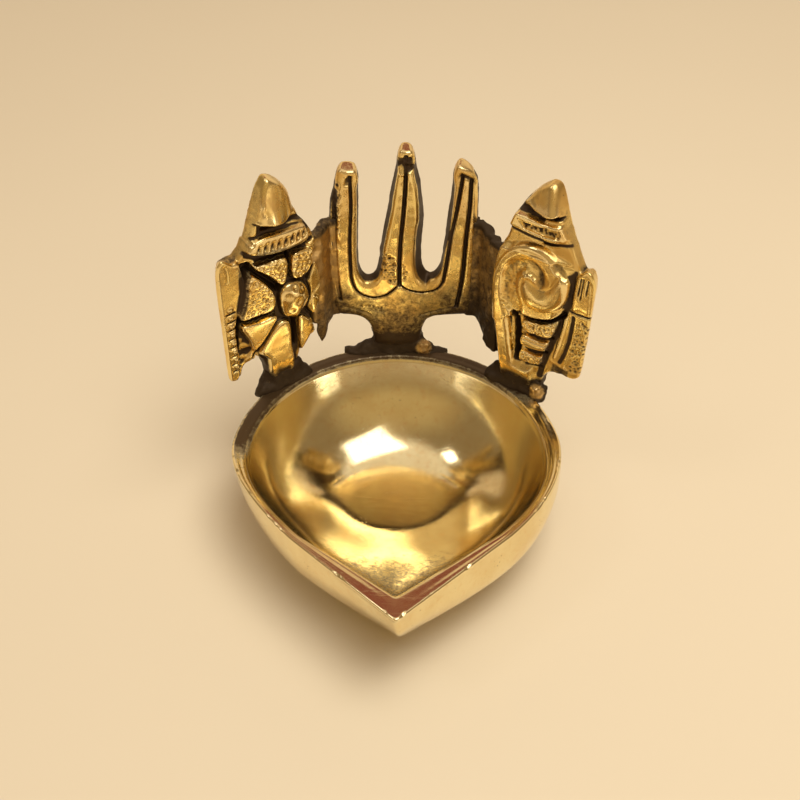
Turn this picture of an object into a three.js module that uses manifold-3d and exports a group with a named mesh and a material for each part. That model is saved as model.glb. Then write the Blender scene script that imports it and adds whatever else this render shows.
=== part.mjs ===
// Diya oil lamp: a leaf-shaped brass bowl with three cast emblems standing on the back of its rim.
// Millimetres. +Z is up, the wick spout points along -Y and the emblems stand at +Y.
// The origin lies under the flat foot plate, below the centre of the rim's round back.
//
// Each emblem is drawn flat, as it would be carved: u runs along it to the right, v is the height
// above the table, and w comes out of its front face, which is w = 0. The back face is w = -PLATE.

import * as THREE from "three";
import { mergeVertices } from "three/addons/utils/BufferGeometryUtils.js";
import Module from "manifold-3d";

const wasm = await Module();
wasm.setup();

// ---- Driving dimensions -------------------------------------------------------------------------

const GAP = 0.3; // between neighbouring pieces
const PLATE = 2.5; // thickness of the emblems' plates
const STEM_BOTTOM = 23.3; // where each emblem's stem meets its brazed foot
const WEB_TOP = 50.3;
const BLOCK = 40; // side of the blocks that trim the emblems and feet

const BOWL = {
  height: 20,
  outside: { radius: 30, tip: -36.6, right: [19.4, -19.2], left: [-17.9, -19.6], widest: 3 },
  inside: { radius: 26.8, tip: -31.6, right: [17.6, -18.4], left: [-16.6, -18.6], widest: 1 },
  belly: { x: 0, y: -1, halfWidth: 30, halfLength: 31 }, // the oval that the wall rounds off to
  floor: { x: 0, y: 3.5, halfWidth: 14, halfLength: 10.5 },
  lean: 0.08, // sideways shift of the outer wall for each millimetre below the rim
  // height, reach as a share of the rim's, and how far the leaf has rounded off to the belly
  outerWall: [
    [0.9, 0.6, 0.75],
    [4, 0.73, 0.6],
    [8, 0.86, 0.45],
    [12, 0.96, 0.25],
    [16, 0.995, 0.08],
    [20, 1, 0],
  ],
  // height, and how far the leaf has drawn in to the floor
  innerWall: [
    [20, 0],
    [17, 0.06],
    [14, 0.16],
    [11, 0.3],
    [8, 0.5],
    [6, 0.68],
    [4.5, 0.84],
    [3.6, 0.97],
  ],
  floorEdge: 3.4,
  floorMiddle: 3.1,
  segments: 80,
};

// The plate brazed under the bowl, filed flat with a few corners, that the lamp stands on.
const FOOT_PLATE = { x: 1.6, y: -0.6, halfWidth: 15, halfLength: 16, height: 0.6, corners: 8 };
const BOWL_BOTTOM = FOOT_PLATE.height + GAP;

// How far the curve of each shoulder carries on along the flank and down the side.
const SHOULDER = {
  right: { alongFlank: [5.6, 5.6], downSide: 9 },
  left: { alongFlank: [5.6, 6.4], downSide: 8 },
  bulge: 0.2,
};

// The brazed feet: how far a collar flares, and the heel that runs down the back of the bowl.
const FOOT = { lip: 0.3, flare: 1.5, flatness: 0.36, heelHeight: 6.5, heelDepth: 2.2, sides: 32 };

const NAAMAM = { at: [0, 29], turn: 0 };
const CHAKRA = { at: [-21.5, 19.5], turn: 36 };
const SHANKHA = { at: [22.5, 18.5], turn: -36 };

const BRASS = { color: 0xcba252, roughness: 0.25, metalness: 1 };
const DARK_BRASS = { color: 0x8a6a32, roughness: 0.45, metalness: 1 };

// ---- Solids -------------------------------------------------------------------------------------

// A closed geometry as a manifold-3d solid.
function solid(geometry) {
  const plain = new THREE.BufferGeometry();
  plain.setAttribute("position", geometry.getAttribute("position"));
  if (geometry.index) plain.setIndex(geometry.index);
  const merged = mergeVertices(plain, 1e-4);
  const triVerts = new Uint32Array(merged.index.array);
  const vertProperties = new Float32Array(merged.getAttribute("position").array);
  return new wasm.Manifold(new wasm.Mesh({ numProp: 3, vertProperties, triVerts }));
}

function join(geometries) {
  return geometries.map(solid).reduce((all, next) => all.add(next));
}

function cutAway(body, geometries) {
  return geometries.reduce((left, geometry) => left.subtract(solid(geometry)), body);
}

// A solid as a named mesh with its own material.
function meshOf(name, body, finish) {
  const { vertProperties, triVerts } = body.getMesh();
  const geometry = new THREE.BufferGeometry();
  geometry.setAttribute("position", new THREE.BufferAttribute(vertProperties, 3));
  geometry.setIndex(new THREE.BufferAttribute(triVerts, 1));
  geometry.computeVertexNormals();
  const mesh = new THREE.Mesh(geometry, new THREE.MeshStandardMaterial(finish));
  mesh.name = name;
  return mesh;
}

// ---- Flat drawing for the emblems -----------------------------------------------------------------

// A flat shape made solid from w = from to w = to, with an optional chamfer round its front edge.
function slab(shape, from, to, chamfer = 0) {
  const geometry = new THREE.ExtrudeGeometry(shape, {
    depth: to - from - 2 * chamfer,
    bevelEnabled: chamfer > 0,
    bevelThickness: chamfer,
    bevelSize: chamfer,
    bevelOffset: -chamfer,
    bevelSegments: 1,
    curveSegments: 8,
  });
  return geometry.translate(0, 0, from + chamfer);
}

// A shape whose corners are the given points.
function polygon(points) {
  return new THREE.Shape(points.map(([u, v]) => new THREE.Vector2(u, v)));
}

// A closed shape that runs smoothly through the given points.
function smooth(points, pieces = 4) {
  const knots = points.map(([u, v]) => new THREE.Vector3(u, v, 0));
  const curve = new THREE.CatmullRomCurve3(knots, true, "centripetal");
  const spread = curve.getPoints(points.length * pieces).slice(0, -1);
  return new THREE.Shape(spread.map((p) => new THREE.Vector2(p.x, p.y)));
}

function ellipse(u, v, halfWidth, halfHeight) {
  const points = new THREE.EllipseCurve(u, v, halfWidth, halfHeight).getPoints(48).slice(0, -1);
  return new THREE.Shape(points);
}

// An ellipsoid, for bosses and swellings.
function dome(u, v, w, halfWidth, halfHeight, depth) {
  return new THREE.SphereGeometry(1, 24, 12).scale(halfWidth, halfHeight, depth).translate(u, v, w);
}

// A block that takes away everything over, or under, a height.
function blockAbove(height) {
  return new THREE.BoxGeometry(BLOCK, BLOCK, BLOCK).translate(0, height + BLOCK / 2, 0);
}

function blockBelow(height) {
  return new THREE.BoxGeometry(BLOCK, BLOCK, BLOCK).translate(0, height - BLOCK / 2, 0);
}

// A round bar of an even radius along points given as [u, v, w].
function bar(points, radius, steps, sides = 8) {
  const curve = new THREE.CatmullRomCurve3(points.map((p) => new THREE.Vector3(...p)));
  const section = new THREE.EllipseCurve(0, 0, radius, radius).getPoints(sides).slice(0, -1);
  return new THREE.ExtrudeGeometry(new THREE.Shape(section), {
    steps,
    bevelEnabled: false,
    extrudePath: curve,
  });
}

// A four-sided flame with its ridge to the front.
function flame(u, base, tip, halfWidth, depth, lean) {
  const height = tip - base;
  const geometry = new THREE.ConeGeometry(1, height, 4, 1).scale(halfWidth, 1, depth);
  const place = new THREE.Matrix4().makeShear(0, 0, lean / height, 0, 0, 0);
  return geometry.applyMatrix4(place).translate(u, base + height / 2, 0);
}

// Stands a flat emblem up where it belongs on the rim.
function stand(mesh, { at, turn }) {
  mesh.rotation.set(Math.PI / 2, THREE.MathUtils.degToRad(turn), 0);
  mesh.position.set(at[0], at[1], 0);
  return mesh;
}

// ---- Bowl ---------------------------------------------------------------------------------------

// Evenly spaced points on a leaf outline, counter-clockwise from the tip: a straight flank, a
// rounded shoulder, the round back, and the same again. grow moves the outline outwards.
function leaf({ radius, tip, right, left, widest }, grow = 0) {
  const path = new THREE.Path();
  const r = radius + grow;
  const out = grow * Math.SQRT1_2;
  const start = Math.asin(widest / r);
  const [rx, ry] = [right[0] + out, right[1] - out];
  const [lx, ly] = [left[0] - out, left[1] - out];
  const side = r * Math.cos(start);
  const bulging = side + SHOULDER.bulge;
  const [onRight, onLeft] = [SHOULDER.right, SHOULDER.left];
  const rightFlank = [rx + onRight.alongFlank[0], ry + onRight.alongFlank[1]];
  const leftFlank = [lx - onLeft.alongFlank[0], ly + onLeft.alongFlank[1]];
  path.moveTo(0, tip - grow * Math.SQRT2);
  path.lineTo(rx, ry);
  path.bezierCurveTo(...rightFlank, bulging, widest - onRight.downSide, side, widest);
  path.absarc(0, 0, r, start, Math.PI - start);
  path.bezierCurveTo(-bulging, widest - onLeft.downSide, ...leftFlank, lx, ly);
  path.lineTo(0, tip - grow * Math.SQRT2);
  return path.getSpacedPoints(BOWL.segments).slice(0, -1);
}

// The outline drawn part of the way in to an oval.
function drawnIn(outline, { x, y, halfWidth, halfLength }, share) {
  return outline.map((point) => {
    const angle = Math.atan2(point.y - y, point.x - x);
    const target = new THREE.Vector2(halfWidth * Math.cos(angle), halfLength * Math.sin(angle));
    return point.clone().lerp(target.add(new THREE.Vector2(x, y)), share);
  });
}

// A turned body whose rings are outlines instead of circles. It starts and ends on the axis.
function leafTurned(bottom, rings, top) {
  const axis = new THREE.Vector2(0, 0);
  const rows = [{ ring: [axis], height: bottom }, ...rings, { ring: [axis], height: top }];
  const profile = rows.map(({ ring, height }) => new THREE.Vector2(ring.length > 1 ? 1 : 0, height));
  const geometry = new THREE.LatheGeometry(profile, BOWL.segments);
  const position = geometry.getAttribute("position");
  for (let step = 0; step <= BOWL.segments; step += 1) {
    rows.forEach(({ ring, height }, row) => {
      const { x, y } = ring[step % ring.length];
      position.setXYZ(step * rows.length + row, x, y, height);
    });
  }
  return geometry;
}

function outerRings(grow = 0) {
  const outline = leaf(BOWL.outside, grow);
  return BOWL.outerWall.map(([height, reach, rounding]) => {
    const shift = new THREE.Vector2(BOWL.lean * (BOWL.height - height), 0);
    const rounded = drawnIn(outline, BOWL.belly, rounding);
    return { ring: rounded.map((p) => p.multiplyScalar(reach).add(shift)), height };
  });
}

function footPlate() {
  const { x, y, halfWidth, halfLength, height, corners } = FOOT_PLATE;
  const plate = new THREE.CylinderGeometry(1, 1, height, corners)
    .rotateX(Math.PI / 2)
    .scale(halfWidth, halfLength, 1)
    .translate(x, y, height / 2);
  return solid(plate);
}

function oilBowl() {
  const inside = leaf(BOWL.inside);
  const walls = BOWL.innerWall.map(([height, share]) => {
    return { ring: drawnIn(inside, BOWL.floor, share), height };
  });
  const floor = { ring: drawnIn(inside, BOWL.floor, 1), height: BOWL.floorEdge };
  const rings = [...outerRings(), ...walls, floor];
  return solid(leafTurned(BOWL_BOTTOM, rings, BOWL.floorMiddle));
}

// The space that the bowl takes up with its gap, for shaping the brazed feet.
function bowlClearance() {
  const rings = outerRings(GAP).map(({ ring, height }) => ({ ring, height: height - GAP }));
  const lid = { ring: leaf(BOWL.outside, GAP), height: BOWL.height + GAP };
  return solid(leafTurned(BOWL_BOTTOM - GAP, [...rings, lid], BOWL.height + GAP));
}

// A brazed foot: a collar on the rim's outer edge with a heel down the back of the bowl.
function brazeFoot(halfWidth) {
  const middle = -PLATE / 2;
  const top = STEM_BOTTOM - GAP;
  const rise = top - BOWL.height;
  const [narrow, wide] = [halfWidth + FOOT.lip, halfWidth + FOOT.flare];
  const collar = new THREE.CylinderGeometry(narrow, wide, rise, FOOT.sides)
    .scale(1, 1, FOOT.flatness)
    .translate(0, BOWL.height + rise / 2, middle);
  const heel = dome(0, BOWL.height, middle - FOOT.lip, halfWidth, FOOT.heelHeight, FOOT.heelDepth);
  return cutAway(join([collar, heel]), [blockAbove(top)]);
}

function placedFoot(name, halfWidth, place) {
  const mesh = stand(meshOf(name, brazeFoot(halfWidth), DARK_BRASS), place);
  mesh.updateMatrixWorld(true);
  const standing = mesh.geometry.clone().applyMatrix4(mesh.matrixWorld);
  return meshOf(name, solid(standing).subtract(bowlClearance()), DARK_BRASS);
}

// ---- Naamam: a U with three prongs ----------------------------------------------------------------

function naamamOutline() {
  const shape = new THREE.Shape();
  shape.moveTo(-4.3, STEM_BOTTOM);
  shape.lineTo(4.6, STEM_BOTTOM);
  shape.quadraticCurveTo(4.4, 28, 8, 28.4);
  shape.lineTo(13, 29.2);
  shape.quadraticCurveTo(14.8, 29.4, 14.7, 32);
  shape.lineTo(14.6, 50);
  shape.lineTo(14.3, 58.9);
  shape.quadraticCurveTo(12.5, 61, 11, 61.8);
  shape.quadraticCurveTo(9.8, 61.4, 9.7, 58);
  shape.lineTo(8.5, 43);
  shape.quadraticCurveTo(8.3, 37.8, 6.3, 37.6);
  shape.quadraticCurveTo(4.2, 37.8, 4.3, 43);
  shape.lineTo(4.1, 53);
  shape.quadraticCurveTo(3.4, 63.8, 1.5, 64.9);
  shape.quadraticCurveTo(-0.1, 64.6, -0.9, 57.4);
  shape.lineTo(-3.2, 43);
  shape.quadraticCurveTo(-3.5, 37.2, -5.3, 37);
  shape.quadraticCurveTo(-7.3, 37.2, -7.3, 43);
  shape.lineTo(-6.8, 54);
  shape.quadraticCurveTo(-6.8, 60.6, -8.7, 61.3);
  shape.quadraticCurveTo(-11, 60.8, -11.7, 55.6);
  shape.lineTo(-12.3, 50);
  shape.lineTo(-12.3, 31);
  shape.quadraticCurveTo(-12.2, 29.3, -9.5, 29.4);
  shape.quadraticCurveTo(-4.5, 29, -4.3, STEM_BOTTOM);
  return shape;
}

// The sunk lines that follow the prongs and dip under the two channels.
const NAAMAM_GROOVES = [
  [[1.7, 63.2], [1.5, 55], [0.9, 47], [0.5, 40], [0.6, 35.8]],
  [[-8.4, 60], [-8.2, 54], [-8.7, 44], [-8.4, 37.5], [-7.2, 34.6], [-4.6, 33.2], [-2, 33.8],
    [0.2, 35.6]],
  [[11.7, 59.8], [10.8, 52], [9.7, 44], [9, 37.5], [7.4, 35], [4.8, 34.4], [2.2, 34.9],
    [0.9, 35.8]],
  [[-10.9, 57], [-11.3, 48], [-11.2, 34]],
  [[13.2, 59], [12.7, 46], [12.4, 36], [11.6, 31]],
];

function naamamEmblem() {
  const plate = join([
    slab(naamamOutline(), -PLATE, 0.6, 0.4),
    dome(0.3, 25.6, -1, 4.9, 5.4, 2.1),
  ]);
  const grooves = NAAMAM_GROOVES.map((line) => bar(line.map(([u, v]) => [u, v, 0.7]), 0.5, 22, 6));
  return cutAway(plate, [blockBelow(STEM_BOTTOM), ...grooves]);
}

// ---- Chakra: a petalled disc with a flame ---------------------------------------------------------

// The grooves between the petals are given as half angles, at the disc's edge and at its hub.
const DISC = {
  u: 0.3,
  v: 40.3,
  halfWidth: 9.1,
  halfHeight: 10.1,
  border: 0.3,
  petals: 8,
  hub: 3.4,
  groove: 0.09,
  hubGroove: 0.25,
};

// The ribbon that ties the disc under its flame.
const DISC_RIBBON = [[-6.3, 53.4], [0, 50.9], [5.6, 51.6], [5.6, 54.6], [0, 54.4], [-5.4, 55.4]];

// One petal of the disc, between two grooves that point at the boss.
function petal(index) {
  const { u, v, halfWidth, halfHeight, border, petals, hub, groove, hubGroove } = DISC;
  const share = (2 * Math.PI) / petals;
  const [first, last] = [index * share, (index + 1) * share];
  const [wide, tall] = [halfWidth - border, halfHeight - border];
  const outer = new THREE.EllipseCurve(u, v, wide, tall, first + groove, last - groove);
  const [from, to] = [last - hubGroove, first + hubGroove];
  const inner = new THREE.EllipseCurve(u, v, hub, hub * 1.15, from, to, true);
  const shape = new THREE.Shape([...outer.getPoints(8), ...inner.getPoints(4)]);
  return slab(shape, -0.5, 2, 0.4);
}

function chakraEmblem() {
  const plates = [
    ellipse(DISC.u, DISC.v, DISC.halfWidth, DISC.halfHeight),
    polygon([[-3.4, STEM_BOTTOM], [2.9, STEM_BOTTOM], [3, 27], [5.2, 32], [-5.2, 32], [-3.3, 27]]),
    polygon([[-10, 30], [-5, 30], [-5, 52.2], [-10, 52.2]]),
    smooth([[-4.4, 49], [-3.8, 54], [-2.8, 58.2], [-1.2, 61.8], [0.3, 64.6], [2.4, 63], [4, 60.2],
      [4.7, 57], [5.4, 54], [7.4, 51.4], [7.6, 48], [1, 46]]),
  ].map((shape) => slab(shape, -PLATE, 0));
  const roll = new THREE.CapsuleGeometry(2.1, 21.4, 6, 16).translate(-8.9, 40.2, -0.6);
  const relief = [
    ...Array.from({ length: DISC.petals }, (_, index) => petal(index)),
    dome(DISC.u + 0.3, DISC.v, 0, 3.2, 3.9, 3.2),
    slab(smooth(DISC_RIBBON), -0.5, 2, 0.4),
    flame(0.9, 56.4, 65.2, 4.4, 2.6, -0.6),
    slab(polygon([[-2.7, STEM_BOTTOM], [2.3, STEM_BOTTOM], [2.6, 30], [-3, 30]]), -0.5, 0.9, 0.3),
  ];
  return join([...plates, roll, ...relief]);
}

// ---- Shankha: a conch with its spiral, bands and flame ----------------------------------------------

const SHELL_OUTLINE = [[-3.9, STEM_BOTTOM], [-4.6, 27], [-5.6, 32], [-6.1, 40], [-5.9, 46], [-4.8, 50.4],
  [-3.4, 54], [-2.9, 58], [-1.6, 61.2], [0.6, 64], [3.2, 65.8], [4.8, 63.4], [6.4, 59.2], [8.4, 55.4],
  [10.4, 53], [12.4, 52], [13, 48], [12.9, 40], [12.4, 33], [11.4, 28.6], [9, 27], [6, 26],
  [4.6, STEM_BOTTOM]];
const SHELL_RIM = [[-2.6, 29, 0.6], [-4.4, 36, 0.9], [-4.5, 44, 1.1], [-2, 49.8, 1.2], [3, 51.9, 1.2],
  [7.4, 49.6, 1.2], [8.4, 45.6, 1.2]];
const SHELL_BANDS = [
  { v: 37.9, from: 1.8, to: 7.4 },
  { v: 33.7, from: 1.6, to: 6.6 },
  { v: 30, from: 1.4, to: 5.6 },
];
const BAND_HALF = 1.45; // half of a band's height
const SHELL_RIBBON = [[-2.4, 55], [3, 54.8], [8.6, 55.2], [7.6, 59], [3, 58.8], [-1.4, 59.2]];

function shankhaEmblem() {
  const bands = SHELL_BANDS.map(({ v, from, to }) => {
    const [low, high] = [v - BAND_HALF, v + BAND_HALF];
    return slab(polygon([[from, low], [to - 0.4, low], [to, high], [from, high]]), -0.5, 1.9, 0.5);
  });
  const roll = new THREE.CapsuleGeometry(1.9, 20.6, 6, 16).translate(11.1, 40, -0.6);
  const relief = [
    bar(SHELL_RIM, 1.3, 30),
    dome(5, 43.8, 0, 4.4, 3.8, 3.2),
    dome(3.2, 47.6, 0, 1.6, 1.7, 2.4),
    slab(smooth(SHELL_RIBBON), -0.5, 2, 0.4),
    flame(2.8, 59.6, 66, 4.2, 2.6, 1),
    slab(polygon([[-3.2, STEM_BOTTOM], [4.4, STEM_BOTTOM], [4.2, 28], [-2.8, 28]]), -0.5, 0.9, 0.3),
  ];
  const shell = slab(polygon(SHELL_OUTLINE), -PLATE, 0);
  return join([shell, roll, ...bands, ...relief]);
}

// ---- Webs between the emblems -----------------------------------------------------------------------

// A point of an emblem's plate, seen from above.
function planPoint({ at, turn }, u, w) {
  const angle = THREE.MathUtils.degToRad(turn);
  return [
    at[0] + u * Math.cos(angle) + w * Math.sin(angle),
    at[1] + u * Math.sin(angle) - w * Math.cos(angle),
  ];
}

// A web stands on its plan, given as corners from above, and is trimmed to an outline in elevation.
function web(name, plan, elevation) {
  const strip = slab(polygon(plan), 0, WEB_TOP);
  const front = slab(polygon(elevation), -40, 0).rotateX(Math.PI / 2);
  return meshOf(name, solid(strip).intersect(solid(front)), DARK_BRASS);
}

const WEB_FRONT = -0.2; // a web's faces, in an emblem's own w, where it meets that emblem
const WEB_BACK = -2.3;
const DISC_SIDE = DISC.u + DISC.halfWidth + GAP;
const SHELL_SIDE = -6.1 - GAP;
const NAAMAM_LEFT = -12.3 - GAP;
const NAAMAM_RIGHT = 14.7 + GAP;

const WEB_LEFT_PLAN = [
  planPoint(CHAKRA, DISC_SIDE, WEB_FRONT),
  planPoint(NAAMAM, NAAMAM_LEFT, WEB_FRONT),
  planPoint(NAAMAM, NAAMAM_LEFT, -PLATE),
  planPoint(NAAMAM, NAAMAM_LEFT - 1.2, WEB_BACK),
  planPoint(CHAKRA, DISC_SIDE, WEB_BACK),
];
const WEB_RIGHT_PLAN = [
  planPoint(SHANKHA, SHELL_SIDE, WEB_BACK),
  planPoint(NAAMAM, NAAMAM_RIGHT + 1.2, WEB_BACK),
  planPoint(NAAMAM, NAAMAM_RIGHT, -PLATE),
  planPoint(NAAMAM, NAAMAM_RIGHT, WEB_FRONT),
  planPoint(SHANKHA, SHELL_SIDE, WEB_FRONT),
];
const WEB_LEFT_ELEVATION = [[-18, 31], [-15.2, 30.2], [-14.3, 25.2], [-13.4, 28.4], [-11, 28.8],
  [-11, WEB_TOP], [-18, WEB_TOP]];
const WEB_RIGHT_ELEVATION = [[13, 28.8], [16, 28.2], [20, 28.6], [20, WEB_TOP - 0.6], [16, WEB_TOP],
  [13, WEB_TOP]];

// ---- Assembly -----------------------------------------------------------------------------------

const lamp = new THREE.Group();
lamp.add(
  meshOf("oil_bowl", oilBowl(), BRASS),
  meshOf("foot_plate", footPlate(), DARK_BRASS),
  stand(meshOf("naamam_emblem", naamamEmblem(), BRASS), NAAMAM),
  stand(meshOf("chakra_emblem", chakraEmblem(), BRASS), CHAKRA),
  stand(meshOf("shankha_emblem", shankhaEmblem(), BRASS), SHANKHA),
  web("web_left", WEB_LEFT_PLAN, WEB_LEFT_ELEVATION),
  web("web_right", WEB_RIGHT_PLAN, WEB_RIGHT_ELEVATION),
  placedFoot("braze_foot_centre", 4.6, NAAMAM),
  placedFoot("braze_foot_left", 3.6, CHAKRA),
  placedFoot("braze_foot_right", 4.6, SHANKHA),
);

export default lamp;
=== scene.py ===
# Looks of the diya oil lamp: high-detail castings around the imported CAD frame, brass and patina
# materials, a plain cream floor and soft studio light.
#
# The castings are worked out in millimetres and made in metres. An emblem is carved flat, like its
# CAD node: u runs along it to the right, v is the height above the table, and w comes out of its
# front face. Each carving is a sheet of heights that is turned into a solid with rounded edges.

import math

import bpy
import numpy as np
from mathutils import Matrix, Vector


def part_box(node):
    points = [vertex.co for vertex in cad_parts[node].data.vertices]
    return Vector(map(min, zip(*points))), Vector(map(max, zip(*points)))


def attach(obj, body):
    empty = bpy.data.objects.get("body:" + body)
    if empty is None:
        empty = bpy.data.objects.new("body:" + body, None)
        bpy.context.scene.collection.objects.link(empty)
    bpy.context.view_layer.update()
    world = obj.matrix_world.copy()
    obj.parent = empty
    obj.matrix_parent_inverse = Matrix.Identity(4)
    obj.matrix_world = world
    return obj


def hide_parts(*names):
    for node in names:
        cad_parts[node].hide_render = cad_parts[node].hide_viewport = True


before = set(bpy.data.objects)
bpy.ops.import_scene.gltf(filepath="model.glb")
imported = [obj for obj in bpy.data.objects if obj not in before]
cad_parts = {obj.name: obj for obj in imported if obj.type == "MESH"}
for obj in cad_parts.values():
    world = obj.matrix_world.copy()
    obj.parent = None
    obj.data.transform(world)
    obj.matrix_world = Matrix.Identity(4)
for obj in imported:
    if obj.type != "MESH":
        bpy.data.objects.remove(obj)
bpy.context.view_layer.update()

MM = 0.001
STEP = 0.15  # ruling of the sheets and of the grids that the emblems are skinned from
COARSE = 0.2  # the same for the webs and the brazed feet
PLATE = 2.5  # thickness behind an emblem's front face
FRONT_ROUND, BACK_ROUND = 0.7, 0.3  # rounding of a plate's edges
CUT_ROUND = 0.45  # rounding of the edges of its flat cuts
STEM_FOOT = 21.6  # how far the stems run down into their brazed feet
SEED = 7
BRASSES = {}  # the material of each slot

PLACES = {  # where each emblem stands, and how far it is turned, in degrees
    "naamam": ((0.0, 29.0), 0.0),
    "chakra": ((-21.5, 19.5), 36.0),
    "shankha": ((22.5, 18.5), -36.0),
}


# ---- Drawing in numbers --------------------------------------------------------------------------


def smoothstep(low, high, x):
    t = np.clip((x - low) / (high - low), 0, 1)
    return t * t * (3 - 2 * t)


def round_max(a, b, radius):
    """The larger of two fields, with the corner between them rounded off."""
    h = np.clip(radius - np.abs(a - b), 0, None) / radius
    return np.maximum(a, b) + h * h * radius * 0.25


def round_min(a, b, radius):
    return -round_max(-a, -b, radius)


def blurred(field, sigma):
    """A Gaussian blur over a field's first two or three axes, sigma in steps of its grid."""
    spectrum = np.fft.rfftn(field)
    for axis, size in enumerate(field.shape):
        last = axis == field.ndim - 1
        f = np.fft.rfftfreq(size) if last else np.fft.fftfreq(size)
        shape = [1] * field.ndim
        shape[axis] = len(f)
        spectrum = spectrum * np.exp(-2 * (np.pi * f * sigma) ** 2).reshape(shape)
    return np.fft.irfftn(spectrum, s=field.shape, axes=range(field.ndim))


def unevenness(shape, sigma, seed):
    """Smooth random unevenness with a spread of 1."""
    field = blurred(np.random.default_rng(seed).normal(size=shape), sigma)
    return field / field.std()


def flowing(points, closed=True, pieces=8):
    """Points on a smooth line through the given ones."""
    p = np.array(points, float)
    n = len(p)
    i = np.arange(n if closed else n - 1)
    if closed:
        a, b, c, d = p[i - 1], p[i], p[(i + 1) % n], p[(i + 2) % n]
    else:
        a, b, c, d = p[np.maximum(i - 1, 0)], p[i], p[i + 1], p[np.minimum(i + 2, n - 1)]
    t = np.linspace(0, 1, pieces, endpoint=False)[:, None, None]
    line = 0.5 * (2 * b + (c - a) * t + (2 * a - 5 * b + 4 * c - d) * t**2 + (3 * b - a - 3 * c + d) * t**3)
    line = line.transpose(1, 0, 2).reshape(-1, p.shape[1])
    return line if closed else np.vstack([line, p[-1]])


def oval(u, v, half_width, half_height, count=72):
    a = np.linspace(0, 2 * np.pi, count, endpoint=False)
    return np.stack([u + half_width * np.cos(a), v + half_height * np.sin(a)], 1)


def drawn(start, *moves):
    """A line of straight and quadratic moves, as corner points."""
    points = [np.array(start, float)]
    for move in moves:
        end = np.array(move[-2:], float)
        if len(move) == 4:
            begin, bend = points[-1], np.array(move[:2], float)
            for t in np.linspace(0, 1, 13)[1:]:
                points.append((1 - t) ** 2 * begin + 2 * t * (1 - t) * bend + t * t * end)
        else:
            points.append(end)
    return np.array(points)


def to_line(x, y, line, closed=False, widths=None):
    """How far each place is from a line, as a share of the line's half width if widths are given."""
    line = np.array(line, float)
    starts = line if closed else line[:-1]
    ends = np.roll(line, -1, 0) if closed else line[1:]
    wide = np.ones(len(line)) if widths is None else np.broadcast_to(np.array(widths, float), (len(line),))
    near = np.full(x.shape, np.inf)
    for k, (a, b) in enumerate(zip(starts, ends)):
        along = b - a
        length = float(along @ along) or 1e-9
        t = np.clip(((x - a[0]) * along[0] + (y - a[1]) * along[1]) / length, 0, 1)
        w = wide[k] + t * (wide[(k + 1) % len(wide)] - wide[k])
        near = np.minimum(near, np.hypot(x - a[0] - t * along[0], y - a[1] - t * along[1]) / w)
    return near


def within(x, y, outline):
    """Which places lie inside a closed outline."""
    inside = np.zeros(x.shape, bool)
    for (ax, ay), (bx, by) in zip(outline, np.roll(outline, -1, 0)):
        if ay != by:
            crosses = (ay > y) != (by > y)
            inside ^= crosses & (x < ax + (y - ay) * (bx - ax) / (by - ay))
    return inside


def signed(x, y, outline):
    """Distance to a closed outline, negative inside it."""
    outline = np.array(outline, float)
    distance = to_line(x, y, outline, closed=True)
    return np.where(within(x, y, outline), -distance, distance)


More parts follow.
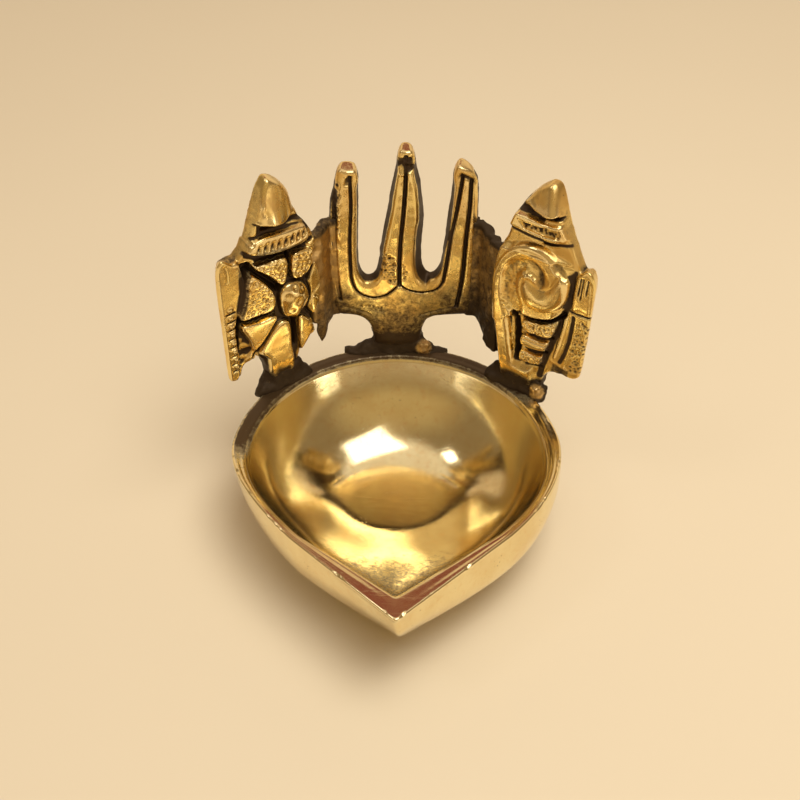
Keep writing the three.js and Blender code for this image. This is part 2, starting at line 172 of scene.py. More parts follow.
class Sheet:
    """A ruled sheet over an emblem's u and v, with the height of its relief at each place."""

    def __init__(self, low, high, level):
        self.u = np.arange(low[0], high[0], STEP)
        self.v = np.arange(low[1], high[1], STEP)
        self.U, self.V = np.meshgrid(self.u, self.v, indexing="ij")
        self.height = np.full(self.U.shape, float(level))
        self.dark = np.zeros(self.U.shape)
        self.clean = np.zeros(self.U.shape)

    def inside(self, outline):
        return signed(self.U, self.V, outline)

    # darkens towards the patina colour: real patina in most places, painted shade in some
    def stain_and_shade(self, amount):
        self.dark = np.maximum(self.dark, amount)

    def keep_clean(self, amount):
        self.clean = np.maximum(self.clean, amount)

    def pad(self, outline, top, slope=0.5, crown=0.0, reach=2.0):
        """Sets the height inside an outline. top is a number or heights over the whole sheet."""
        d = self.inside(outline)
        k = smoothstep(0, slope, -d)
        swell = crown * (1 - np.clip(1 + d / reach, 0, 1) ** 2)
        self.height = self.height * (1 - k) + (top + swell) * k

    def slant(self, at, level, du=0.0, dv=0.0):
        """A sloping plane of heights through a point."""
        return level + du * (self.U - at[0]) + dv * (self.V - at[1])

    def groove(self, line, width, depth, dark=0.0):
        """Sinks a groove. width is half of its width, or one such number for each point."""
        q = to_line(self.U, self.V, line, widths=width)
        self.height -= depth * np.clip(1 - q * q, 0, 1)
        self.stain_and_shade(dark * smoothstep(1.15, 0.6, q))

    def flow_groove(self, points, width, depth, dark=0.0):
        """Sinks a groove along a smooth line through the points."""
        self.groove(flowing(points, False), width, depth, dark)

    def sink(self, outline, floor, slope=0.4, dark=0.0):
        """Sinks the inside of an outline to a floor, without raising what is lower."""
        d = self.inside(outline)
        k = smoothstep(0, slope, -d)
        self.height = np.minimum(self.height, self.height * (1 - k) + floor * k)
        self.stain_and_shade(dark * smoothstep(-slope * 0.2, slope, -d))

    def bead(self, u, v, radius, rise, stretch=1.0, lean=0.0, dark=0.0):
        """A small round swelling, or a punch mark where rise is negative."""
        x, y = self.U - u, self.V - v
        a = math.radians(lean)
        along, across = x * math.sin(a) + y * math.cos(a), x * math.cos(a) - y * math.sin(a)
        q = (along / (radius * stretch)) ** 2 + (across / radius) ** 2
        self.height += rise * np.exp(-1.6 * q)
        self.stain_and_shade(dark * np.exp(-1.1 * q))

    def punch(self, outline, spacing, radius, depth, seed, border=0.3, dark=0.8):
        """Punched marks scattered inside an outline."""
        chance = np.random.default_rng(seed)
        outline = np.array(outline, float)
        low, high = outline.min(0), outline.max(0)
        marks = []
        for row, v in enumerate(np.arange(low[1], high[1], spacing * 0.87)):
            for u in np.arange(low[0] + (row % 2) * spacing / 2, high[0], spacing):
                marks.append((u, v))
        marks = np.array(marks) + chance.normal(scale=spacing * 0.17, size=(len(marks), 2))
        for u, v in marks[signed(marks[:, 0], marks[:, 1], outline) < -border]:
            size = radius * chance.uniform(0.75, 1.25)
            self.bead(u, v, size, -depth * chance.uniform(0.6, 1.3), chance.uniform(0.8, 1.3),
                chance.uniform(0, 180), dark)

    def roughen(self, outline, amount, grain, seed):
        """Uneven cast texture inside an outline."""
        k = smoothstep(0, 0.6, -self.inside(outline))
        self.height += amount * k * unevenness(self.U.shape, grain / STEP, seed)

    def darken(self, outline, amount, soft=0.6):
        k = smoothstep(-soft, soft, -self.inside(outline))
        self.stain_and_shade(amount * k)

    def polish(self, outline, amount, soft=0.6):
        k = smoothstep(-soft, soft, -self.inside(outline))
        self.keep_clean(amount * k)


# ---- Skinning a field --------------------------------------------------------------------------


def skin(field, origin, step):
    """The surface where a field crosses zero, by naive surface nets: points and four-sided faces."""
    inside = field < 0
    nx, ny, nz = (n - 1 for n in field.shape)
    corners = [(i, j, k) for i in (0, 1) for j in (0, 1) for k in (0, 1)]
    count = np.zeros((nx, ny, nz), np.int8)
    for i, j, k in corners:
        count += inside[i : nx + i, j : ny + j, k : nz + k]
    cells = np.argwhere((count > 0) & (count < 8))
    number = np.full((nx, ny, nz), -1, np.int64)
    number[tuple(cells.T)] = np.arange(len(cells))
    value = {c: field[tuple((cells + c).T)].astype(float) for c in corners}
    total = np.zeros((len(cells), 3))
    crossings = np.zeros(len(cells))
    for a in corners:
        for axis in range(3):
            if a[axis]:
                continue
            b = tuple(1 if i == axis else a[i] for i in range(3))
            crossed = (value[a] < 0) != (value[b] < 0)
            t = value[a][crossed] / (value[a][crossed] - value[b][crossed])
            spot = np.tile(np.array(a, float), (len(t), 1))
            spot[:, axis] += t
            total[crossed] += spot
            crossings[crossed] += 1
    points = (cells + total / crossings[:, None]) * step + np.array(origin)
    faces = []
    for axis in range(3):
        first = [slice(None)] * 3
        second = [slice(None)] * 3
        first[axis], second[axis] = slice(0, -1), slice(1, None)
        start, end = inside[tuple(first)], inside[tuple(second)]
        others = [i for i in range(3) if i != axis]
        for flip, edges in ((False, start & ~end), (True, ~start & end)):
            e = np.argwhere(edges)
            for other in others:
                e = e[(e[:, other] > 0) & (e[:, other] < field.shape[other] - 1)]
            ring = []
            for p, q in ((1, 1), (0, 1), (0, 0), (1, 0)):
                cell = e.copy()
                cell[:, others[0]] -= p
                cell[:, others[1]] -= q
                ring.append(number[tuple(cell.T)])
            quad = np.stack(ring, 1)
            faces.append(quad[:, ::-1] if flip != (axis == 1) else quad)
    return points, np.vstack(faces)


def sample(table, low, x, y):
    """A table's values between its ruling."""
    fx = np.clip((x - low[0]) / STEP, 0, table.shape[0] - 1.001)
    fy = np.clip((y - low[1]) / STEP, 0, table.shape[1] - 1.001)
    i, j = fx.astype(int), fy.astype(int)
    tx, ty = fx - i, fy - j
    top = table[i, j] * (1 - tx) + table[i + 1, j] * tx
    bottom = table[i, j + 1] * (1 - tx) + table[i + 1, j + 1] * tx
    return top * (1 - ty) + bottom * ty


def made(name, node, slot, points, faces, patina_and_painted_shade, worn=0.0):
    """A piece of the lamp from points in millimetres, with how much patina and painted shade it has and how
    worn it is at each point. Its material is the brass of its slot."""
    mesh = bpy.data.meshes.new(name)
    mesh.vertices.add(len(points))
    mesh.vertices.foreach_set("co", (np.asarray(points, np.float32) * MM).ravel())
    sizes = np.array([len(f) for f in faces]) if isinstance(faces, list) else np.full(len(faces), 4)
    flat = np.concatenate([np.asarray(f) for f in faces]) if isinstance(faces, list) else faces.ravel()
    mesh.loops.add(len(flat))
    mesh.loops.foreach_set("vertex_index", flat.astype(np.int32))
    mesh.polygons.add(len(sizes))
    mesh.polygons.foreach_set("loop_start", np.concatenate([[0], np.cumsum(sizes)[:-1]]).astype(np.int32))
    mesh.polygons.foreach_set("use_smooth", np.ones(len(sizes), bool))
    mesh.update(calc_edges=True)
    for fact, values in (("patina_and_painted_shade", patina_and_painted_shade), ("worn", worn)):
        layer = mesh.attributes.new(fact, "FLOAT", "POINT")
        layer.data.foreach_set("value", np.full(len(points), values, np.float32))
    piece = bpy.data.objects.new(name, mesh)
    bpy.context.scene.collection.objects.link(piece)
    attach(piece, "root")
    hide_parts(node)
    mesh.materials.append(BRASSES[slot])


def stood(points, place):
    """Points of a flat carving, where they stand on the rim."""
    (x, y), turn = PLACES[place]
    c, s = math.cos(math.radians(turn)), math.sin(math.radians(turn))
    u, v, w = points.T
    return np.stack([x + u * c + w * s, y + u * s - w * c, v], 1)


def past(facet, u, v, w):
    """How far each place lies past a flat cut, and whether the cut reaches so far along u. A facet
    is a point on the cut, the way it faces, and its reach."""
    (pu, pv, pw), (nu, nv, nw), reach = facet
    cut = ((u - pu) * nu + (v - pv) * nv + (w - pw) * nw) / math.sqrt(nu * nu + nv * nv + nw * nw)
    return cut, np.abs(u - pu) < reach


def cast_emblem(place, sheet, edge, draft, flank, facets=()):
    """Turns a carved sheet into a solid plate and stands it up. edge is the distance to the plate's
    outline at its back, draft is how much smaller its front is, and flank gives the film on the
    sides and back from u, v and w. The sides, the crests and the flat cuts are rubbed bright."""
    rough = unevenness(sheet.U.shape, 1.6 / STEP, SEED + 1)
    fine = unevenness(sheet.U.shape, 0.45 / STEP, SEED + 2)
    front = blurred(sheet.height, 0.55) + 0.035 * rough + 0.012 * fine
    rear = -PLATE + 0.10 + 0.07 * rough + 0.03 * fine
    side = edge + 0.012 * fine
    w = np.arange(-PLATE - 2 * STEP, front.max() + 3 * STEP, STEP)
    steep = np.sqrt(1 + sum(g * g for g in np.gradient(front, STEP)))[:, :, None]
    facing = (w[None, None, :] - front[:, :, None]) / np.minimum(steep, 2.2)
    behind = rear[:, :, None] - w[None, None, :]
    leaning = np.clip((w + PLATE) / PLATE, 0, 1.2)[None, None, :]
    around = side[:, :, None] + np.broadcast_to(np.asarray(draft, float), sheet.U.shape)[:, :, None] * leaning
    field = round_max(round_max(facing, behind, BACK_ROUND), around, FRONT_ROUND)
    U, V, W = sheet.U[:, :, None], sheet.V[:, :, None], w[None, None, :]
    for facet in facets:
        cut, reached = past(facet, U, V, W)
        field = np.where(reached, round_max(field, cut, CUT_ROUND), field)
    low = (sheet.u[0], sheet.v[0])
    points, faces = skin(field.astype(np.float32), (*low, w[0]), STEP)

    hollow = blurred(front, 0.9 / STEP) - front
    wide_hollow = blurred(front, 2.0 / STEP) - front
    cavity = smoothstep(0.03, 0.32, hollow) + 0.65 * smoothstep(0.1, 0.8, wide_hollow)
    on_front = np.clip(np.maximum(cavity * (1 - sheet.clean), sheet.dark), 0, 1)
    crest = smoothstep(0.05, 0.35, -hollow)
    u, v, depth = points.T
    below = sample(front, low, u, v) - depth
    k = smoothstep(0.25, 0.9, below)
    film = flank(u, v, depth) * (1 - 0.2 * smoothstep(-PLATE + 0.6, -PLATE + 0.2, depth))
    patina_and_painted_shade = sample(on_front, low, u, v) * (1 - k) + film * k
    worn = sample(crest, low, u, v) * (1 - k)
    for facet in facets:
        cut, reached = past(facet, u, v, depth)
        rubbed = smoothstep(0.55, 0.2, np.abs(cut)) * reached
        patina_and_painted_shade, worn = patina_and_painted_shade * (1 - rubbed), np.maximum(worn, rubbed)
    made(place + "_cast", place + "_emblem", "antiqued_brass", stood(points, place), faces, patina_and_painted_shade, worn)


# ---- Naamam: a U with three prongs ---------------------------------------------------------------


def naamam():
    outline = drawn((-4.3, STEM_FOOT), (4.6, STEM_FOOT), (5.0, 25), (5.4, 27.8, 8, 28.0), (13, 28.4),
        (15.0, 28.6, 15.0, 32), (15.0, 50), (14.9, 56.0), (14.5, 58.4), (13.4, 60.4),
        (12.2, 62.0, 11.4, 62.0), (10.4, 61.8, 10.0, 58.6), (9.6, 55.0), (8.5, 43), (8.2, 37.8, 6.5, 37.5),
        (5.0, 37.8, 5.0, 43), (5.3, 50), (4.5, 57.5), (3.5, 62.0), (2.8, 65.6, 1.7, 65.6),
        (0.6, 65.6, 0.0, 61.6), (-0.9, 57.0), (-3.3, 43), (-3.6, 37.2, -5.3, 37), (-7.0, 37.2, -7.0, 43),
        (-6.6, 54), (-6.6, 58.4), (-7.0, 61.8, -8.6, 61.8), (-10.0, 61.8, -10.8, 58.6), (-12.0, 54.0),
        (-12.6, 48), (-12.7, 30.4), (-12.4, 28.3, -9.5, 28.3), (-5.2, 28.2, -4.8, 25))
    s = Sheet((-14, STEM_FOOT - 1), (16.4, 67.0), 0.55)
    depth = -s.inside(outline)
    s.height += 0.25 * smoothstep(0, 1.8, depth) - 0.25
    # the neck swells, and the body sinks a little towards its lower edge
    s.height += 0.75 * np.exp(-((s.U - 0.2) / 4.2) ** 2) * smoothstep(31, 26, s.V)
    s.height -= 0.30 * smoothstep(33, 28.5, s.V) * smoothstep(3.5, 7, np.abs(s.U))
    s.height += 0.06 * unevenness(s.U.shape, 2.2 / STEP, SEED + 9)
    centre = [(1.75, 63.6), (1.65, 58), (1.3, 52), (0.8, 46), (0.55, 40), (0.55, 35.9)]
    left = [(-8.15, 59.6), (-8.05, 54), (-8.5, 46), (-8.5, 40), (-8.3, 37), (-7.3, 34.6), (-4.7, 33.2),
        (-2, 33.8), (0.1, 35.7)]
    right = [(11.7, 59.6), (10.9, 53), (9.9, 46), (9.1, 39), (8.6, 36.4), (7.3, 34.9), (4.8, 34.4),
        (2.4, 34.9), (0.9, 35.9)]
    s.flow_groove(centre, 0.40, 0.9, 0.95)
    s.flow_groove(left, np.interp(np.arange(65), [0, 24, 40, 64], [0.34, 0.32, 0.2, 0.2]), 0.75, 0.9)
    s.flow_groove(right, np.interp(np.arange(65), [0, 24, 40, 64], [0.4, 0.38, 0.2, 0.2]), 0.8, 0.9)
    s.flow_groove([(-10.9, 56.4), (-11.1, 52), (-11.35, 45), (-11.2, 38), (-10.6, 32.6)],
        np.interp(np.arange(33), [0, 16, 32], [0.55, 0.5, 0.3]), 0.8, 0.95)
    s.flow_groove([(13.2, 58.8), (13.1, 53), (12.7, 46), (12.4, 38), (11.5, 31)], 0.42, 0.85, 0.92)
    s.groove([(-10.4, 30.9), (-7.6, 30.1), (-5, 29.0)], 0.2, 0.3, 0.6)
    s.groove([(4.7, 29.0), (7.7, 29.8), (11.6, 30.9)], 0.2, 0.3, 0.6)
    # unpolished pockets just under the tips
    s.sink([(-0.5, 60.4), (0.9, 61.6), (1.7, 59.8), (3.5, 60.8), (3.0, 63.6), (0.2, 63.6)], 0.05, 0.5, 0.85)
    s.roughen([(-1, 59.6), (4.2, 59.6), (3.6, 64), (-0.4, 64)], 0.13, 0.35, SEED + 3)
    s.sink([(-9.4, 57.6), (-8.9, 59.6), (-7.4, 59.9), (-7.6, 58.4), (-8.3, 57.6)], 0.15, 0.4, 0.7)
    s.sink([(10.4, 59.2), (11.4, 60.6), (14.0, 59.2), (14.0, 57.9), (11.6, 59.3)], 0.1, 0.4, 0.75)
    s.roughen([(-13, 44), (-10.2, 44), (-9.6, 60), (-12.2, 58)], 0.16, 0.4, SEED + 4)
    s.punch([(-12.2, 46), (-10.9, 46), (-9.9, 57), (-11.6, 56)], 0.7, 0.3, 0.25, SEED + 8, 0.0)
    s.punch([(-3.2, 38), (-2.8, 43.2), (-0.1, 42.8), (0.1, 37.4), (-0.4, 36.4)], 0.62, 0.26, 0.34, SEED + 5,
        0.1)
    s.punch([(1.1, 37), (1.1, 41.6), (2.2, 41.4), (2.1, 37)], 0.62, 0.24, 0.3, SEED + 6, 0.1)
    s.punch([(-7.4, 31.4), (-1.4, 31.2), (-1.4, 29.6), (-6, 30)], 0.75, 0.26, 0.22, SEED + 7, 0.1)
    # painted shade: the lower body, and the sides of the U below the prongs, are darkened to stand in for the
    # darker reflections there
    painted_shade_low = smoothstep(40, 32.5, s.V) * 0.47 + smoothstep(33, 26, s.V) * 0.2
    aside = 0.22 * smoothstep(46, 38, s.V) * smoothstep(6, 12, np.abs(s.U))
    s.stain_and_shade(painted_shade_low + aside)
    s.stain_and_shade(0.97 * smoothstep(28.6, 23.4, s.V))
    centre_right = smoothstep(1, 4, s.U) * smoothstep(6.6, 5.4, s.U)
    draft = 0.45 + centre_right * (0.45 + 0.75 * smoothstep(54, 46, s.V))
    draft += 0.35 * smoothstep(-5.2, -3.6, s.U) * smoothstep(1, -1, s.U)
    draft += 0.45 * smoothstep(6.6, 8.2, s.U) * smoothstep(11, 9.6, s.U) * smoothstep(42, 48, s.V)
    tip = smoothstep(56.4, 59.8, s.V - 3.6 * smoothstep(5, 3.5, np.abs(s.U - 1)))
    draft = draft * smoothstep(26, 31, s.V) * (1 - tip) - 0.05 * tip

    def flank(u, v, w):
        tips = smoothstep(59.4, 60.4, v + 0.15 * w - 3.4 * smoothstep(5, 3.5, np.abs(u - 1)))
        return 0.93 * (1 - tips)

    facets = [((1.6, 64.6, 0), (0.02, 1, 0.22), 4.2), ((-8.6, 60.75, 0), (0.06, 1, 0.24), 4.0),
        ((11.2, 61.5, 0), (0.34, 1, 0.30), 4.4)]
    cast_emblem("naamam", s, s.inside(outline), draft, flank, facets)


# ---- Chakra: a petalled disc with a flame --------------------------------------------------------


def chakra():
    disc = oval(0.3, 40.3, 9.2, 10.4)
    flame_outline = flowing([(-5.4, 49), (-5.2, 52.4), (-4.2, 55.4), (-3.2, 58.4), (-2.2, 61.2), (-1.0, 63.5),
        (0.2, 64.8), (1.6, 64.4), (3.2, 62.9), (4.6, 60.6), (5.3, 57.6), (6.4, 54.8), (8.0, 52.2), (8.6, 48),
        (4, 44), (-2, 44)])
    fillet = [(-9.4, 48), (-8.9, 50.8), (-7.4, 51.4), (-6.0, 52.6), (-5.0, 54.4), (-3, 54), (-3, 48)]
    stem = [(-3.2, STEM_FOOT), (3.3, STEM_FOOT), (3.9, 24.4), (4.4, 26.6), (6.0, 28.0), (7.6, 29.6), (7, 33),
        (-6, 33), (-5.4, 28.6), (-4.2, 27.2), (-3.6, 25)]
    flange = flowing([(-10.1, 28.0), (-9.9, 26.6), (-9.1, 26.2), (-8.4, 27.4), (-7.0, 28.2), (-5.4, 28.4),
        (-4.6, 33), (-4.6, 48), (-6.0, 51.2), (-7.4, 51.6), (-8.8, 51.4), (-9.8, 50.4), (-10.1, 46),
        (-10.1, 40), (-10.1, 33)], pieces=4)
    s = Sheet((-13.4, STEM_FOOT - 1), (11.6, 66.8), 0.1)
    solid = np.minimum.reduce([s.inside(p) for p in (disc, flame_outline, fillet, stem, flange)])

    # the plain side that runs on into the web, and the deep gap beside the flange
    s.pad([(5.5, 28), (12, 28), (12, 53), (6, 53)], s.slant((7, 40), 0.85, -0.12, 0.0), 1.2)
    s.sink(flowing([(-7.6, 49.4), (-6.8, 50.4), (-4.8, 50.2), (-4.6, 48.6), (-5.6, 46.8), (-6.2, 43),
        (-7.4, 39.4), (-8.3, 36.6), (-8.7, 32), (-9.2, 33), (-9.0, 38), (-8.2, 42), (-7.8, 46)], pieces=4),
        -1.4, 0.5, 1.0)

    petals = [
        # outline, height at its middle, slopes along u and v, punch mark spacing, or 0 for plain
        ([(-4.9, 49.5), (-1, 49.7), (2.1, 49.1), (1.9, 44.4), (0.4, 43.2), (-1.6, 45.9)],
         1.4, 0.0, 0.04, 0.95),
        ([(3.0, 49.0), (5.4, 49.3), (7.7, 48.5), (7.2, 45.7), (5.0, 43.2), (2.7, 44.1)],
         1.3, -0.05, 0.03, 0.95),
        ([(-6.3, 48.0), (-4.8, 48.2), (-1.0, 42.9), (-1.3, 38.9), (-4.8, 38.8), (-8.5, 39.3), (-7.7, 44)],
         1.4, 0.02, 0.02, 1.0),
        ([(-8.6, 38.2), (-4.6, 37.9), (-1.4, 37.9), (-1.1, 36.2), (-5.5, 30.6), (-7.0, 33.8)],
         1.35, 0.02, 0.13, 0.0),
        ([(-4.9, 30.2), (-1.0, 35.0), (1.8, 34.7), (2.0, 29), (2.2, 22), (-2.8, 22), (-3.4, 27.6)],
         1.0, 0.0, 0.0, 0.0),
        ([(3.4, 34.8), (5.0, 34.6), (7.0, 31.4), (5.6, 28.6), (3.4, 26.6)],
         1.1, -0.05, 0.05, 0.0),
        ([(6.4, 35.4), (6.4, 37.6), (7.2, 38.4), (8.8, 36.6), (8.6, 33), (7.6, 31.4)],
         0.9, -0.12, 0.0, 0.0),
    ]
    for number, (outline, level, du, dv, spacing) in enumerate(petals):
        middle = np.mean(outline, 0)
        s.pad(flowing(outline, pieces=3), s.slant(middle, level, du, dv), 0.4, 0.2, 1.2)
        if spacing:
            s.punch(outline, spacing, 0.27, 0.34, SEED + 20 + number, 0.4, 0.55)
    # grooves that run in to the boss, broad where they meet it
    s.groove([(-4.8, 48.6), (-1.8, 45.0), (0.6, 42.2)], [0.28, 0.5, 0.8], 1.3, 1.0)
    s.groove([(2.6, 49.2), (2.4, 46.5), (2.3, 44)], [0.32, 0.34, 0.4], 1.2, 1.0)
    s.groove([(-8.6, 38.7), (-4.6, 38.35), (-1.4, 38.5)], [0.2, 0.24, 0.36], 0.8, 0.9)
    s.groove([(-6.0, 29.4), (-3.4, 32.4), (-1.2, 35.4)], [0.3, 0.34, 0.45], 1.0, 1.0)
    s.groove([(2.75, 35.2), (2.75, 31.5), (2.6, 28.2)], [0.5, 0.42, 0.3], 1.1, 1.0)
    s.groove([(5.6, 35.6), (6.9, 33.0), (7.6, 30.4)], [0.36, 0.32, 0.2], 0.8, 0.95)
    s.groove([(6.2, 42.0), (7.4, 44.6), (8.5, 46.6), (8.9, 48.6)], [0.4, 0.34, 0.36, 0.2], 0.8, 0.95)
    s.groove([(7.2, 38.9), (8.2, 39.3), (9.6, 41.0)], [0.3, 0.16, 0.1], 0.3, 0.4)
    # the boss, dimpled
    boss = flowing([(-0.2, 40.2), (0.6, 42.6), (2.4, 43.3), (5.0, 42.4), (6.2, 39.2), (5.1, 36.5),
        (2.8, 35.1), (0.5, 36.4)])
    ring = s.inside(boss)
    s.height = np.where(ring < 0.5, np.minimum(s.height, 0.1 + 0.4 * np.abs(ring)), s.height)
    s.stain_and_shade(smoothstep(0.7, 0.3, np.abs(ring)) * 0.9)
    s.pad(boss, 1.0, 0.35, 1.5, 3.2)
    s.dark *= 1 - smoothstep(0.15, 0.6, -ring)
    dimples = ((1.6, 40.8, 1.0), (3.4, 39.4, 0.8), (2.0, 37.6, 0.7), (4.2, 41.2, 0.6), (2.9, 42.0, 0.5))
    for u, v, size in dimples:
        s.bead(u, v, size, -0.26)

    # ribbon over the disc, its ends drawn to points, with slanted drops punched in it
    s.sink([(-5.9, 51.2), (-3.6, 49.9), (0.6, 49.3), (5, 49.2), (8.2, 49.8), (8.2, 50.9), (-5.8, 52.6)], -0.2,
        0.35, 0.95)
    ribbon = flowing([(-6.3, 53.2), (-4.2, 51.6), (-1.4, 50.7), (1.6, 50.3), (4.5, 50.3), (6.6, 50.8),
        (7.0, 52.4), (6.2, 54.0), (3.4, 54.4), (0.4, 54.6), (-2.2, 54.9), (-4.4, 54.4)], pieces=4)
    s.pad(ribbon, s.slant((0, 52), 1.4, -0.02, -0.10), 0.4, 0.25, 1.0)
    drops = ((-3.3, 52.6), (-2.0, 52.5), (-0.6, 52.4), (0.7, 52.3), (2.1, 52.3), (3.4, 52.4), (4.7, 52.5),
        (5.9, 52.6))
    for u, v in drops:
        s.bead(u, v, 0.40, -0.75, 2.1, 28, 0.85)
    s.flow_groove([(-5.0, 52.0), (-1.2, 51.0), (2.6, 50.7), (6.4, 51.3)], 0.15, 0.2, 0.3)
    # the ledge at the left, and the black groove under the flame
    s.pad([(-5.2, 54.4), (-2.8, 54.8), (-2.4, 57.4), (-4.6, 57.4)], 0.6, 0.5)
    s.sink([(-2.2, 55.3), (1, 55.0), (4.4, 55.0), (7.4, 53.9), (7.4, 55.2), (4.6, 56.2), (1, 56.0),
        (-2.0, 56.4)], -0.7, 0.4, 1.0)
    # the flame: a flat rough facet to the left of its ridge and a full round one to the right
    flame = flowing([(-5.4, 57.8), (-3.6, 57.3), (-1.2, 56.8), (2.0, 56.3), (4.2, 56.7), (6.6, 57.8),
        (6.0, 62.0), (3.4, 66.4), (0.0, 67.2), (-4.6, 63.2)], pieces=5)
    ridge = -0.7 + 0.20 * (s.V - 57.5)
    left = 2.5 + 0.42 * (s.U - ridge) - 0.22 * (s.V - 57.5)
    right = 2.5 - 0.11 * np.clip(s.U - ridge, 0, None) ** 1.9 - 0.36 * (s.V - 57.5)
    s.pad(flame, round_min(left, right, 0.4), 0.4)
    s.roughen([(-4.6, 58), (-1.6, 57.6), (-0.4, 63.5), (-1.6, 63.8)], 0.13, 0.42, SEED + 18)
    s.darken([(-5.4, 57.4), (-1.3, 57.4), (-0.2, 64.5), (-2.6, 65)], 0.22, 0.5)

    # the flange: a bevelled outer corner, a plain upper bulge and a ladder of marks below
    bulge = flowing([(-13.4, 25), (-9.6, 25.6), (-9.0, 31), (-8.8, 37), (-8.0, 40.6), (-6.9, 43.8),
        (-6.2, 47.4), (-6.6, 50.4), (-8.2, 52.6), (-13.4, 52.8)], pieces=4)
    s.pad(bulge, np.minimum(0.55, 0.55 + 0.85 * (s.U + 11.1)), 0.5, 0.2, 1.4)
    s.flow_groove([(-9.8, 51.4), (-9.5, 49.8), (-9.6, 48.2)], 0.16, 0.3, 0.5)
    for v in (42.2, 40.4, 38.6, 36.6, 34.7, 32.7, 30.9, 29.2):
        s.bead(-9.75, v, 0.55, 0.4, 1.0)
        s.groove([(-10.6, v - 0.95), (-9.0, v - 0.85)], 0.24, 0.55, 0.9)
    s.roughen([(-9.2, 28.0), (-5.6, 28.0), (-6.2, 33), (-9, 37)], 0.22, 0.5, SEED + 19)
    s.stain_and_shade(0.35 * smoothstep(31, 28, s.V) * smoothstep(-8.8, -6, s.U) * smoothstep(-2, -3.4, s.U))
    s.stain_and_shade(0.30 * smoothstep(31, 26, s.V))
    s.stain_and_shade(0.97 * smoothstep(26.2, 22.6, s.V))
    s.height -= 0.7 * smoothstep(26.5, 22, s.V)
    s.stain_and_shade(0.36 * smoothstep(6.8, 8.6, s.U) * smoothstep(53, 50, s.V))

    def flank(u, v, w):
        shine = np.maximum(smoothstep(-9.8, -10.3, u) * smoothstep(24.5, 26, v),
            smoothstep(61.0, 63.0, v + 0.3 * w))
        shine = np.maximum(shine, 0.6 * smoothstep(50.4, 52.4, v) * smoothstep(3, -1, u))
        shine = np.maximum(shine, 0.6 * smoothstep(54.4, 56.4, v))
        return 0.9 - 0.86 * shine * smoothstep(-PLATE - 0.2, -PLATE + 0.5, w)

    draft = 0.3 - 1.82 * smoothstep(-8.0, -10.3, s.U) * smoothstep(25, 26.5, s.V)
    facets = [((1.4, 64.0, 0), (0.55, 1, 0.45), 3.6)]
    cast_emblem("chakra", s, solid, draft, flank, facets)


# ---- Shankha: a conch with its spiral, bands and flame -------------------------------------------


